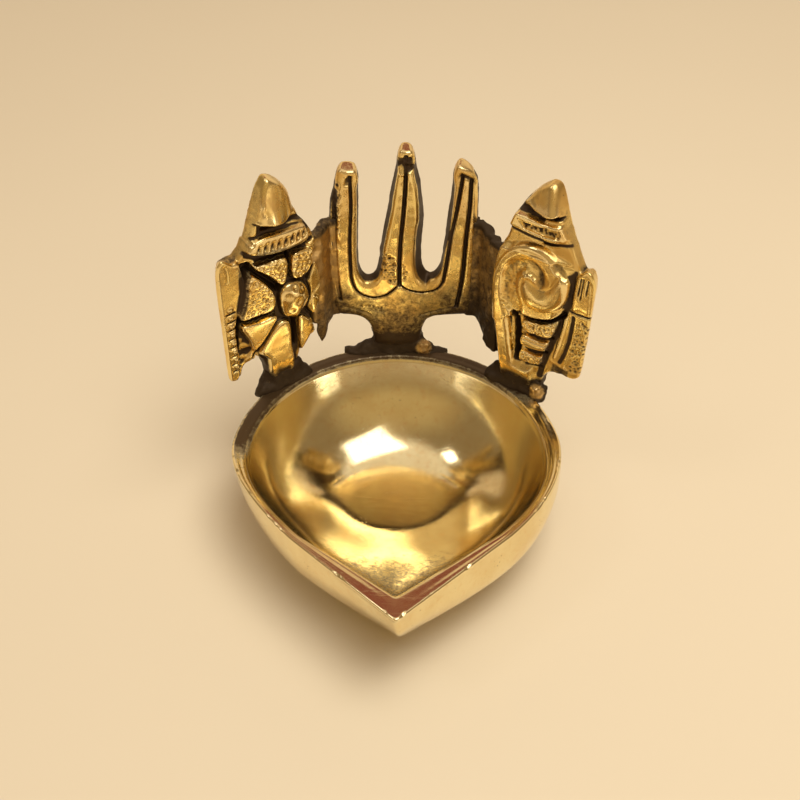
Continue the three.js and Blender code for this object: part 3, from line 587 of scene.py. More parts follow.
def shankha():
    outline = flowing([(-3.4, STEM_FOOT), (-3.9, 24.5), (-4.6, 28), (-5.5, 33), (-6.0, 38), (-6.1, 43),
        (-5.7, 48), (-5.0, 51.0), (-4.1, 53.2), (-3.3, 56.4), (-2.2, 59.4), (-0.4, 62.3), (1.4, 64.4),
        (3.3, 65.7), (4.8, 64.9), (5.9, 62.4), (6.9, 59.2), (8.4, 55.9), (9.9, 52.8), (10.9, 51.0),
        (11.9, 51.2), (12.6, 50.6), (13.0, 49), (13.0, 46), (12.9, 40), (12.7, 34), (12.4, 29.0),
        (11.4, 27.4), (9.0, 27), (7.2, 26.4), (6.0, 24.6), (4.8, STEM_FOOT)], pieces=4)
    s = Sheet((-8, STEM_FOOT - 1), (16.4, 67.0), 0.0)
    fall = np.clip(s.U - 5.8, 0, None)
    # the plain flank at the upper right, that falls away to the back
    s.pad([(3, 50), (12, 50), (12, 63), (3, 63)], 0.9 - 0.42 * fall, 0.6)
    # the right flange, with its slots, and the dark hollow beside the tail
    s.pad([(9.2, 27), (16, 27), (16, 53), (9.8, 53)], 0.25, 0.8, 0.1, 1.5)
    s.pad(flowing([(10.0, 43.2), (12, 43.3), (15.2, 43.6), (15.2, 52.6), (11.2, 52.2), (10.1, 49)], pieces=4),
        0.4, 0.5, 0.3, 1.5)
    for line in ([(11.2, 50.2), (11.0, 46.6)], [(11.7, 50.4), (11.5, 46)], [(12.6, 50.4), (12.5, 47.3)]):
        s.groove(line, 0.2, 0.4, 0.8)
    s.groove([(9.9, 42.5), (15.4, 42.7)], 0.26, 0.7, 0.9)
    s.punch([(11.0, 29), (13.6, 29), (14.0, 41.6), (11.4, 41.2)], 0.9, 0.34, 0.45, SEED + 40, 0.1)
    s.flow_groove([(13.2, 28.5), (13.5, 36), (13.6, 44), (13.3, 50)], 0.14, 0.18, 0.3)
    s.flow_groove([(10.6, 41.4), (10.4, 37), (9.8, 33), (9.0, 30.2)], 0.45, 1.4, 1.0)
    s.flow_groove([(9.0, 42), (8.2, 38), (7.1, 34), (5.9, 29), (5.2, 25)], 0.66, 1.7, 1.0)
    s.pad(flowing([(8.9, 41.5), (9.8, 41.8), (9.3, 37), (8.3, 31.2), (7.5, 31.0), (8.3, 36)], pieces=4), 0.5,
        0.35)
    s.sink([(6.4, 24.6), (11.4, 26.6), (11.2, 29.6), (7.4, 29.6)], -0.2, 0.6, 0.7)
    s.roughen([(6.2, 25), (11.6, 26), (11, 30.4), (7, 30)], 0.26, 0.45, SEED + 41)

    # the shell's body: its shoulder, the recess, the lip that curls in to the belly, and the belly
    body = flowing([(-5.9, 34), (-6.6, 42), (-5.6, 50.0), (-4, 54.0), (0.5, 54.4), (4.6, 54.2), (9.6, 55.4),
        (10.2, 51), (10.1, 46), (8.8, 41.4), (6, 38.4), (0, 37)], pieces=4)
    shoulder = 1.35 - 1.30 * np.clip(s.V - 51.6 + 0.12 * np.abs(s.U - 3), 0, None)
    shoulder = np.maximum(shoulder, -1.1) - 0.45 * np.clip(s.U - 6.6, 0, None)
    s.pad(body, np.minimum(shoulder, 1.25), 0.6)
    s.keep_clean(smoothstep(50.6, 51.4, s.V) * smoothstep(54.2, 53.4, s.V))
    recess = flowing([(-2.2, 37.8), (-3.4, 40.2), (-4.2, 44.0), (-3.4, 47.6), (-1.2, 50.0), (1.4, 50.9),
        (3.6, 50.3), (4.9, 48.6), (5.0, 46.2), (4.0, 45.0), (2.6, 46.2), (1.0, 47.0), (-0.1, 45.6),
        (0.0, 42.8), (1.0, 40.6), (1.0, 38.0), (-0.4, 35.6), (-1.5, 35.6)], pieces=4)
    s.sink(recess, 0.6, 1.1, 0.30)
    s.roughen(recess, 0.04, 0.5, SEED + 43)
    s.polish(recess, 0.6)
    s.punch([(-3.0, 38.4), (-3.8, 46), (-1.6, 49), (0.6, 49.6), (-0.8, 46), (-0.8, 41), (0.4, 38)], 0.7, 0.3,
        0.2, SEED + 42, 0.0, 0.15)
    # painted shade: a dark spot in the inner corner of the recess, beside the curl
    s.darken([(3.0, 50.2), (4.6, 48.6), (4.9, 46.4), (4.0, 45.2), (3.2, 46.4), (3.0, 48.6)], 0.7, 0.7)
    lip = flowing([(-1.5, 23.4), (-2.2, 27.5), (-2.9, 31.6), (-3.6, 35.6), (-4.3, 39.6), (-4.6, 43.6),
        (-4.0, 47.4), (-2.3, 50.2), (0.2, 51.9), (3.2, 51.8), (5.6, 50.2), (6.9, 47.6), (6.4, 44.6)], False)
    stations = [0, 16, 26, 34, 48, 64, 72, 84, 96]
    wide = np.interp(np.arange(len(lip)), stations, [1.5, 1.5, 1.55, 0.95, 0.8, 1.1, 1.5, 1.9, 1.6])
    q = to_line(s.U, s.V, lip, widths=wide)
    s.height = round_max(s.height, 1.45 * np.sqrt(np.clip(1.3 - q * q, 0, 1)) + 0.02, 0.5)
    s.dark *= 1 - smoothstep(1.15, 0.8, q)
    s.keep_clean(0.6 * smoothstep(1.1, 0.7, q))
    upper = (smoothstep(51.2, 52.0, s.V) * smoothstep(54.5, 54.1, s.V) * smoothstep(-2.8, -1.4, s.U)
             * smoothstep(9.4, 8.2, s.U))
    slope = 1.4 - 1.30 * (s.V - 52.1 + 0.10 * np.abs(s.U - 3.0)) - 0.15 * np.clip(s.U - 4, 0, None)
    s.height = np.maximum(s.height, slope * upper + s.height * (1 - upper))
    s.keep_clean(upper)
    belly = flowing([(0.1, 45.6), (0.1, 43.2), (1.4, 40.7), (4.1, 40.1), (7.2, 41.5), (9.2, 44.1),
        (9.7, 47.4), (9.0, 49.4), (7.2, 49.6), (6.0, 47.2), (4.6, 45.4), (2.8, 45.6), (1.4, 46.6)], pieces=4)
    s.pad(belly, 0.9, 0.6, 1.0, 2.2)
    s.height += 0.35 * np.exp(-((s.U - 4.2) ** 2 / 12 + (s.V - 42.6) ** 2 / 2.6))
    s.keep_clean(smoothstep(0.2, 1.0, -s.inside(belly)))
    lumps = ((1.0, 48.0, 0.6), (1.9, 47.2, 0.6), (2.8, 46.7, 0.5), (1.0, 46.8, 0.5), (0.4, 47.4, 0.4))
    for u, v, size in lumps:
        s.bead(u, v, size, 0.5)
    notch = [(5.4, 51.3), (6.4, 51.9), (7.6, 51.8), (8.8, 50.2), (9.1, 48.8), (8.0, 49.0), (6.6, 49.9)]
    s.sink(notch, 0.65, 0.5, 0.5)
    s.flow_groove([(0.2, 37.9), (3.6, 38.1), (7.0, 39.4), (9.0, 41.4)], 0.55, 1.3, 1.0)
    tail = [
        # outline, height, punch mark spacing, or 0 for plain
        ([(1.2, 37.4), (4.8, 38.0), (8.2, 40.0), (7.5, 35.9), (5.0, 34.9), (1.3, 34.8)], 1.15, 0.95),
        ([(1.2, 33.9), (4.6, 33.9), (6.8, 34.3), (6.2, 31.8), (1.2, 31.2)], 1.05, 0.0),
        ([(1.1, 30.1), (3.9, 30.2), (6.0, 30.6), (5.4, 28.1), (1.0, 27.5)], 1.0, 0.9),
    ]
    for number, (outline_of_band, level, spacing) in enumerate(tail):
        smooth_band = flowing(outline_of_band, pieces=3)
        s.pad(smooth_band, level, 0.35, 0.25, 1.2)
        if spacing:
            s.punch(smooth_band, spacing, 0.32, 0.45, SEED + 44 + number, 0.35)
    s.groove([(0.6, 34.35), (7.2, 35.0)], 0.3, 0.9, 0.95)
    s.groove([(0.6, 30.65), (6.2, 31.15)], 0.3, 0.9, 0.95)
    s.groove([(0.6, 33.0), (6.6, 33.3)], 0.16, 0.25, 0.5)
    s.groove([(0.4, 27.1), (5.6, 27.5)], 0.24, 0.5, 0.8)
    s.flow_groove([(-0.9, 37.4), (-0.3, 35), (0.1, 31), (0.5, 27.2)], [0.75] * 25, 1.5, 1.0)
    s.pad(flowing([(-3.4, 27.2), (1.4, 26.8), (4.4, 27.0), (4.8, 20), (-3.8, 20)], pieces=4), 0.8, 2.0, 0.5,
        2.5)
    s.stain_and_shade(0.45 * smoothstep(28, 24, s.V) * smoothstep(-2, 1.5, s.U))
    s.stain_and_shade(0.97 * smoothstep(26.0, 22.4, s.V))
    s.height -= 0.6 * smoothstep(26.0, 22, s.V)

    # ribbon with a sunken panel, and the flame above it
    s.sink([(-4.4, 54.8), (0.8, 54.0), (4.8, 54.1), (10.4, 55.4), (10.4, 56.2), (4.8, 55.2), (0.8, 55.1),
        (-4.2, 55.9)], -0.1, 0.3, 0.95)
    ribbon = flowing([(-4.2, 56.2), (-4.2, 59.0), (-0.8, 59.2), (3.4, 58.9), (6.8, 59.3), (10.6, 60.2),
        (10.6, 57), (6.3, 55.8), (2.8, 55.5), (-2.0, 55.9)], pieces=4)
    s.pad(ribbon, 1.45 - 0.42 * fall, 0.4, 0.2, 0.8)
    panel = [(-1.6, 58.1), (0.2, 57.9), (3, 58.0), (6.6, 58.4), (6.8, 56.6), (3.3, 56.1), (-0.2, 56.5),
        (-0.6, 57.2)]
    s.sink(panel, 1.05, 0.3, 0.35)
    s.punch(panel, 0.75, 0.3, 0.36, SEED + 50, 0.1)
    s.sink([(-2.6, 59.3), (0.8, 59.2), (3, 59.1), (8.4, 60.0), (8.4, 60.9), (3, 60.0), (0.8, 60.3),
        (-2.2, 60.6)], -0.5, 0.35, 1.0)
    flame = flowing([(-2.6, 61.0), (-0.4, 60.9), (1.8, 60.4), (4.4, 60.3), (7.2, 61.1), (9.0, 62.2),
        (7.4, 67), (3.2, 68.2), (-1.2, 66)], pieces=5)
    ridge = 4.9 - 0.30 * (s.V - 61)
    left = 2.4 + 0.26 * (s.U - ridge) - 0.55 * (s.V - 61)
    right = 2.4 - 0.55 * (s.U - ridge) - 0.55 * (s.V - 61)
    s.pad(flame, round_min(left, right, 0.5), 0.4)
    s.roughen([(-1, 61.2), (2.2, 60.8), (2.4, 65), (1.0, 64.6)], 0.10, 0.4, SEED + 51)

    def flank(u, v, w):
        shine = np.maximum(smoothstep(10.6, 11.4, u) * smoothstep(27, 29, v), smoothstep(61, 63, v + 0.3 * w))
        shine = np.maximum(shine, 0.75 * smoothstep(4, 5.5, u) * smoothstep(50.6, 52, v))
        return 0.92 - 0.86 * shine * smoothstep(-PLATE - 0.2, -PLATE + 0.5, w)

    draft = 0.3 - 1.2 * smoothstep(10.4, 12.2, s.U) * smoothstep(27, 29, s.V)
    cast_emblem("shankha", s, s.inside(outline), draft, flank)


# ---- Webs between the emblems ----------------------------------------------------------------------


def on_plan(place, u, w):
    """A point of an emblem's plate, seen from above."""
    x, y, _ = stood(np.array([[u, 0.0, w]]), place)[0]
    return x, y


def web(name, path, elevation, film, ridges, seed):
    """A thin cast web along a path on the plan, trimmed to an outline in elevation."""
    path = np.array(path)
    low = np.array([path[:, 0].min() - 2, path[:, 1].min() - 2, 24.0])
    high = np.array([path[:, 0].max() + 2, path[:, 1].max() + 2, 52.0])
    x, y, z = (np.arange(a, b, COARSE) for a, b in zip(low, high))
    X, Y = np.meshgrid(x, y, indexing="ij")
    across = to_line(X, Y, path)[:, :, None]
    XX, ZZ = np.meshgrid(x, z, indexing="ij")
    trimmed = signed(XX, ZZ, elevation)[:, None, :]
    rough = unevenness((len(x), len(y), len(z)), 3.0, seed)
    tall = unevenness((len(x), len(y)), 2.0, seed + 1)[:, :, None]
    field = across - 1.0 + 0.10 * rough + ridges * np.clip(tall, -1.5, 1.5)
    field = round_max(field, trimmed + 0.12 * rough, 0.6)
    points, faces = skin(field.astype(np.float32), low, COARSE)
    height = points[:, 2]
    patina_and_painted_shade = film + 0.3 * smoothstep(40, 28, height) + 0.4 * smoothstep(48.8, 49.8, height)
    made(name + "_cast", name, "dark_brass", points, faces, np.clip(patina_and_painted_shade, 0, 1))


def webs():
    left = [on_plan("chakra", 8.0, -0.75), on_plan("chakra", 9.6, -0.9), (-12.9, 29.2), (-11.4, 29.7)]
    web("web_left", left, [(-18, 31), (-15.2, 30.2), (-14.9, 27), (-14.3, 25.2), (-13.5, 27), (-12.6, 28.8),
        (-10, 28.6), (-10, 50.2), (-14, 50.6), (-18, 49.4)], 0.32, 0.03, SEED + 60)
    right = [on_plan("shankha", -5.2, -0.9), (16.6, 26.4), (15.4, 29.4), (13.8, 29.9)]
    web("web_right", right, [(12.6, 28.4), (15.2, 28.6), (17, 26.2), (20.5, 25.6), (20.5, 49.5), (16, 50.0),
        (12.6, 50)], 0.56, 0.24, SEED + 62)


# ---- Brazed feet ---------------------------------------------------------------------------------


def lump(U, V, W, centre, radii):
    """A rough distance to an ellipsoid."""
    r = np.array(radii, float)
    q = np.sqrt(((U - centre[0]) / r[0]) ** 2 + ((V - centre[1]) / r[1]) ** 2 + ((W - centre[2]) / r[2]) ** 2)
    return (q - 1) * r.min()


def foot(name, place, half_width, lumps, bright, seed):
    """A collar round a stem, with a heel down the bowl's wall, lumps, and round beads of bright braze."""
    low = (-half_width - 6, 12.0, -4.6)
    u, v, w = (np.arange(a, b, COARSE) for a, b in zip(low, (half_width + 6, 25.6, 3.4)))
    U, V, W = np.meshgrid(u, v, w, indexing="ij")
    rise = smoothstep(24.5, 20, V)
    wide, deep = half_width + 0.2 + 1.3 * rise**2, 1.75 + 0.5 * rise**2
    around = np.sqrt(((U - 0.2) / wide) ** 2 + ((W + 0.9) / deep) ** 2)
    field = round_max((around - 1) * 1.9, np.abs(V - 21.0) - 2.6, 0.8)
    heel = lump(U, V, W, (0, 19.4, -1.55), (half_width, 6.0, 1.5))
    field = round_min(field, heel, 1.2)
    for centre, radii in lumps:
        field = round_min(field, lump(U, V, W, centre, radii), 1.0)
    field = field + 0.10 * unevenness(U.shape, 3.2, seed) + 0.03 * unevenness(U.shape, 1.4, seed + 1)
    for centre, radius in bright:
        close = smoothstep(radius * 1.5, radius * 0.9, np.sqrt((U - centre[0]) ** 2 + (V - centre[1]) ** 2))
        field += 0.11 * close * unevenness(U.shape, 1.7, seed + 2)
    points, faces = skin(field.astype(np.float32), low, COARSE)
    patina_and_painted_shade = np.full(len(points), 0.9)
    for centre, radius in bright:
        near = np.linalg.norm(points - np.array(centre), axis=1)
        patina_and_painted_shade = np.minimum(patina_and_painted_shade, 0.3 + 0.6 * smoothstep(radius * 0.7, radius * 1.3, near))
    made(name + "_braze", name, "dark_brass", stood(points, place), faces, patina_and_painted_shade)


def feet():
    centre = [((-6.4, 19.5, 0.1), (4.8, 1.1, 1.5)), ((-5.0, 20.4, 0.0), (2.4, 1.5, 1.3)),
        ((5.0, 20.6, 0.1), (1.9, 1.3, 1.3)), ((7.0, 19.5, 0.2), (3.4, 1.0, 1.3))]
    left = [((-3.6, 19.9, 0.0), (2.6, 1.3, 1.4)), ((3.6, 19.9, 0.0), (2.8, 1.4, 1.4))]
    right = [((-4.2, 19.9, 0.0), (2.4, 1.3, 1.4)), ((5.2, 20.8, 0.2), (1.3, 2.2, 1.2))]
    foot("braze_foot_centre", "naamam", 4.4, centre, [((5.4, 21.2, 0.8), 1.6)], SEED + 70)
    foot("braze_foot_left", "chakra", 3.4, left, [], SEED + 72)
    foot("braze_foot_right", "shankha", 4.2, right, [((5.4, 21.6, 1.0), 1.6)], SEED + 74)


# ---- Bowl ------------------------------------------------------------------------------------------

AROUND = 512  # points round each ring of the bowl
OUTSIDE = {"radius": 30, "tip": -36.45, "right": (19.4, -19.2), "left": (-17.9, -19.6), "widest": 3}
INSIDE = {"radius": 26.8, "tip": -31.6, "right": (17.6, -18.4), "left": (-16.6, -18.6), "widest": 1}
BELLY = (0, -1, 30, 31)  # ovals: middle, half width and half length
FLOOR = (0, 3.2, 10.5, 8.0)
LEAN = 0.08  # how far the wall moves to the right for each millimetre down from the rim
UNDERSIDE, RIM_TOP = 0.9, 19.93
FLOOR_EDGE, DISH = 3.5, 0.45  # height of the floor's edge, and how far its middle is below it


def bezier(a, b, c, d):
    t = np.linspace(0, 1, 60)[:, None]
    a, b, c, d = (np.array(p, float) for p in (a, b, c, d))
    return (1 - t) ** 3 * a + 3 * t * (1 - t) ** 2 * b + 3 * t * t * (1 - t) * c + t**3 * d


def leaf(shape, soften):
    """Evenly spaced points on a leaf outline, from its tip and counter-clockwise."""
    r, widest = shape["radius"], shape["widest"]
    (rx, ry), (lx, ly), tip = shape["right"], shape["left"], (0, shape["tip"])
    start = math.asin(widest / r)
    side = r * math.cos(start)
    turn = np.linspace(start, np.pi - start, 240)
    back = np.stack([r * np.cos(turn), r * np.sin(turn)], 1)
    going = bezier((rx, ry), (rx + 5.6, ry + 5.6), (side + 0.2, widest - 9), (side, widest))
    coming = bezier((-side, widest), (-side - 0.2, widest - 8), (lx - 5.6, ly + 6.4), (lx, ly))
    line = np.vstack([[tip, (rx, ry)], going, back, coming, [tip]])
    length = np.concatenate([[0], np.cumsum(np.linalg.norm(np.diff(line, axis=0), axis=1))])
    at = np.linspace(0, length[-1], AROUND, endpoint=False)
    ring = np.stack([np.interp(at, length, line[:, i]) for i in (0, 1)], 1)
    return rounded(ring, soften)


def rounded(ring, sigma):
    """A closed ring with its corners rounded, sigma in steps along it."""
    f = np.fft.rfftfreq(len(ring))[:, None]
    spectrum = np.fft.rfft(ring, axis=0) * np.exp(-2 * (np.pi * f * sigma) ** 2)
    return np.fft.irfft(spectrum, n=len(ring), axis=0)


def drawn_in(ring, target_oval, share):
    """A ring drawn in towards an oval, all the way where share is 1."""
    x, y, half_width, half_length = target_oval
    angle = np.arctan2(ring[:, 1] - y, ring[:, 0] - x)
    target = np.stack([x + half_width * np.cos(angle), y + half_length * np.sin(angle)], 1)
    return ring + (target - ring) * share


def monotone(x, y, at):
    """Smooth interpolation that never overshoots."""
    x, y = np.array(x, float), np.array(y, float)
    h, s = np.diff(x), np.diff(y) / np.diff(x)
    m = np.zeros(len(x))
    same = s[:-1] * s[1:] > 0
    w1, w2 = 2 * h[1:] + h[:-1], h[1:] + 2 * h[:-1]
    safe = np.where(same, s[:-1], 1), np.where(same, s[1:], 1)
    m[1:-1] = np.where(same, (w1 + w2) / (w1 / safe[0] + w2 / safe[1]), 0)
    m[0], m[-1] = s[0], s[-1]
    i = np.clip(np.searchsorted(x, at) - 1, 0, len(x) - 2)
    t = (at - x[i]) / h[i]
    return ((1 + 2 * t) * (1 - t) ** 2 * y[i] + t * (1 - t) ** 2 * h[i] * m[i]
            + t * t * (3 - 2 * t) * y[i + 1] + t * t * (t - 1) * h[i] * m[i + 1])


def between_rings(rings, around):
    """The four-sided faces that join closed rings of points, each to the next."""
    i = np.arange(around)
    j = (i + 1) % around
    first = np.stack([i, j, j + around, i + around], 1)
    return list(np.vstack([first + ring * around for ring in range(rings - 1)]))


def fan(first, around, point, upwards):
    """The triangles that join a ring, whose points start at number first, to a single point."""
    pairs = [(first + n, first + (n + 1) % around) for n in range(around)]
    return [(a, b, point) if upwards else (b, a, point) for a, b in pairs]


def bowl():
    outer = leaf(OUTSIDE, 1.2)
    inner = leaf(INSIDE, 1.6)
    turn = np.arange(AROUND) * 2 * np.pi / AROUND
    chance = np.random.default_rng(SEED + 80)
    wave = sum(chance.normal() / k * np.sin(k * turn + chance.uniform(0, 7)) for k in range(2, 14))
    nicks = np.interp(np.arange(AROUND), np.arange(0, AROUND, 2), chance.random(AROUND // 2))
    chips = smoothstep(0.80, 0.98, nicks)
    rows, kinds = [], []

    def row(ring, height, kind):
        rows.append(np.column_stack([ring, np.broadcast_to(height, AROUND)]))
        kinds.append(kind)

    heights = [UNDERSIDE, 4, 8, 12, 16, 20]
    reach = [0.6, 0.73, 0.86, 0.96, 0.995, 1]
    rounding = [0.75, 0.6, 0.45, 0.25, 0.08, 0]
    # the bottom, out from its middle, and then the outer wall up to the rim
    bottom = drawn_in(outer, BELLY, 0.75) * 0.6 + np.array([LEAN * 19.1, 0])
    middle = bottom.mean(0)
    for k in (0.25, 0.5, 0.75, 0.93):
        row(middle + (bottom - middle) * k, UNDERSIDE, "under")
    for z in np.linspace(0.93, 19.45, 48):
        ring = drawn_in(outer, BELLY, float(monotone(heights, rounding, z)))
        row(ring * float(monotone(heights, reach, z)) + np.array([LEAN * (20 - z), 0]), z, "outside")
    # the rim: its outer corner, the flat top with small dents, and its inner corner
    inward = inner - outer
    width = np.linalg.norm(inward, axis=1)[:, None]
    inward = inward / width
    top = RIM_TOP + 0.05 * np.tanh(wave)
    for a in np.linspace(0, 90, 6):
        lift = 0.42 * (1 - math.sin(math.radians(a)))
        row(outer + inward * 0.42 * (1 - math.cos(math.radians(a))) * (1 + 0.7 * chips[:, None]),
            top - lift - 0.22 * chips * math.sin(math.radians(a)), "edge")
    for k in np.linspace(0.06, 0.94, 15):
        near = outer + inward * (0.42 + (width - 0.42 - 0.5) * k)
        row(near, top + 0.02 * math.sin(k * 9) * np.sin(3 * turn) + 0.02 * math.sin(math.pi * k), "rim")
    for a in np.linspace(10, 90, 7):
        back = 0.5 * (1 - math.sin(math.radians(a)))
        row(inner - inward * back, top - 0.5 * (1 - math.cos(math.radians(a))), "lip")
    # the inside: a steep wall, a gentle slope below its bend, and the dished floor, all smoothed over
    first = len(rows)
    share = [0.012, 0.06, 0.13, 0.22, 0.34, 0.50, 0.68, 0.85, 1.02]
    down_front = [19.4, 17.0, 14.0, 11.2, 9.3, 7.6, 6.0, 4.6, 3.5]
    down_back = [19.4, 17.6, 15.2, 12.7, 10.1, 7.4, 5.3, 4.05, 3.5]
    towards_back = smoothstep(-0.45, 0.75, inner[:, 1] / np.linalg.norm(inner, axis=1))
    for k in np.linspace(0.02, 1.01, 96):
        z = monotone(share, down_front, k) * (1 - towards_back) + monotone(share, down_back, k) * towards_back
        dent = 0.10 * np.sin(2 * turn + 0.4 * z) + 0.05 * np.sin(5 * turn - z)
        row(rounded(drawn_in(inner, FLOOR, k), 14 * k), z + dent * math.sin(math.pi * min(k, 1)), "inside")
    edge = drawn_in(inner, FLOOR, 1.02)
    centre = np.array([FLOOR[0], FLOOR[1]])
    for k in np.linspace(0.985, 0.04, 60):
        row(centre + (edge - centre) * k, FLOOR_EDGE - DISH * (1 - k * k), "floor")
    inside = np.array(rows[first:])
    for _ in range(90):
        inside[1:-1] = (inside[:-2] + 2 * inside[1:-1] + inside[2:]) / 4
    rows[first:] = list(inside)
    points = np.vstack(rows)
    under = len(points)
    points = np.vstack([points, [*middle, UNDERSIDE], [*centre, FLOOR_EDGE - DISH]])
    faces = between_rings(len(rows), AROUND)
    faces += fan(0, AROUND, under, False) + fan(under - AROUND, AROUND, under + 1, True)

    x, y = points[:, 0], points[:, 1]
    angle = np.degrees(np.arctan2(y, x))
    angle = np.where(angle < -90, angle + 360, angle)
    kind = np.array([k for name in kinds for k in [name] * AROUND] + ["under", "floor"])
    on_rim = np.isin(kind, ["rim", "edge", "lip"])
    back = smoothstep(14, 44, angle) * smoothstep(196, 168, angle)
    left_back = smoothstep(150, 170, angle) * smoothstep(222, 190, angle)
    right = smoothstep(-30, 0, angle) * smoothstep(50, 20, angle)
    film = np.maximum.reduce([0.92 * back, 0.20 * left_back, 0.26 * right, np.full(len(x), 0.08)])
    # a thin darker film at the front of the well: partly stains, partly painted shade that dims the bright
    # second reflection of the back wall there
    front_stain_and_shade = 0.46 * smoothstep(-7, -20, y) * smoothstep(16, 8, np.abs(x)) * np.isin(kind, ["inside", "floor"])
    patina_and_painted_shade = np.where(on_rim, film, 0.04 + front_stain_and_shade)
    patina_and_painted_shade = np.where(kind == "under", 0.6, patina_and_painted_shade)
    worn = np.where(kind == "edge", 1.0, np.where(kind == "lip", 0.5, 0.0))
    made("bowl_cast", "oil_bowl", "polished_brass", points, faces, patina_and_painted_shade, worn)


def foot_plate():
    """A low round-cornered plate under the bowl."""
    low, high = (np.array(c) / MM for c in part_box("foot_plate"))
    middle, half = (low + high) / 2, (high - low) / 2
    around = 96
    turn = np.linspace(0, 2 * np.pi, around, endpoint=False)
    rows = []
    profile = ((0.4, 0.0), (0.8, 0.0), (0.95, 0.0), (0.975, 0.05), (0.985, 0.2), (0.985, 0.75), (0.93, 0.93))
    for reach, z in profile:
        x = middle[0] + half[0] * reach * np.cos(turn)
        rows.append(np.column_stack([x, middle[1] + half[1] * reach * np.sin(turn), np.full(around, z)]))
    points = np.vstack(rows + [[[middle[0], middle[1], 0.0]]])
    faces = between_rings(len(rows), around) + fan(0, around, len(points) - 1, False)
    made("foot_plate_cast", "foot_plate", "dark_brass", points, faces, 0.5)


# ---- Materials -------------------------------------------------------------------------------------


class Nodes:
    """A short way of writing node trees."""

    def __init__(self, tree):
        self.tree = tree
        tree.nodes.clear()

    def add(self, kind, **given):
        node = self.tree.nodes.new("ShaderNode" + kind)
        for key, value in given.items():
            setattr(node, key, value)
        return node

    def put(self, socket, value):
        if isinstance(value, bpy.types.NodeSocket):
            self.tree.links.new(value, socket)
        else:
            socket.default_value = value

    def math(self, operation, a, b=0.0, clamp=False):
        node = self.add("Math", operation=operation, use_clamp=clamp)
        self.put(node.inputs[0], a)
        self.put(node.inputs[1], b)
        return node.outputs[0]

    def plus(self, a, b, **given):
        return self.math("ADD", a, b, **given)

    def less(self, a, b):
        return self.math("SUBTRACT", a, b)

    def times(self, a, b):
        return self.math("MULTIPLY", a, b)

    def range(self, value, low, high, start=0.0, end=1.0):
        node = self.add("MapRange", interpolation_type="SMOOTHSTEP")
        for socket, v in zip(node.inputs, (value, low, high, start, end)):
            self.put(socket, v)
        return node.outputs[0]

    def mix(self, share, a, b):
        node = self.add("Mix", data_type="RGBA", clamp_factor=True)
        for name, v in (("Factor", share), ("A", a), ("B", b)):
            kind = "VALUE" if name == "Factor" else "RGBA"
            self.put(next(s for s in node.inputs if s.name == name and s.type == kind), v)
        return next(s for s in node.outputs if s.type == "RGBA")

    def noise(self, vector, scale, detail=2.0, rough=0.5, distortion=0.0):
        node = self.add("TexNoise")
        for name, v in (("Vector", vector), ("Scale", scale), ("Detail", detail), ("Roughness", rough),
                        ("Distortion", distortion)):
            self.put(node.inputs[name], v)
        return node.outputs["Fac"]

    def cells(self, vector, scale):
        node = self.add("TexVoronoi", feature="F1")
        self.put(node.inputs["Vector"], vector)
        self.put(node.inputs["Scale"], scale)
        return node.outputs["Distance"]

    def placed(self, vector, turn=(0, 0, 0), scale=(1, 1, 1), move=(0, 0, 0)):
        node = self.add("Mapping")
        self.put(node.inputs["Vector"], vector)
        self.put(node.inputs["Location"], move)
        self.put(node.inputs["Rotation"], tuple(math.radians(a) for a in turn))
        self.put(node.inputs["Scale"], scale)
        return node.outputs[0]

    def fact(self, name):
        return self.add("Attribute", attribute_name=name).outputs["Fac"]

    def bump(self, height, strength, distance, normal=None):
        node = self.add("Bump")
        self.put(node.inputs["Height"], height)
        self.put(node.inputs["Strength"], strength)
        self.put(node.inputs["Distance"], distance)
        if normal is not None:
            self.put(node.inputs["Normal"], normal)
        return node.outputs[0]


def scratches(n, where, directions, low=0.66, high=0.76):
    """Thin hairlines, as a mask. A direction is a turn in degrees and a stretch of the pattern."""
    total = None
    for number, (turn, stretch) in enumerate(directions):
        stretched = n.placed(where, turn, stretch, (3.7 * number, 1.9, 0.4))
        lines = n.range(n.noise(stretched, 1.0, 1.5), low, high)
        total = lines if total is None else n.math("MAXIMUM", total, lines)
    return total


TARNISH = (0.80, 0.50, 0.20, 1)
RUBBED = (0.98, 0.84, 0.50, 1)


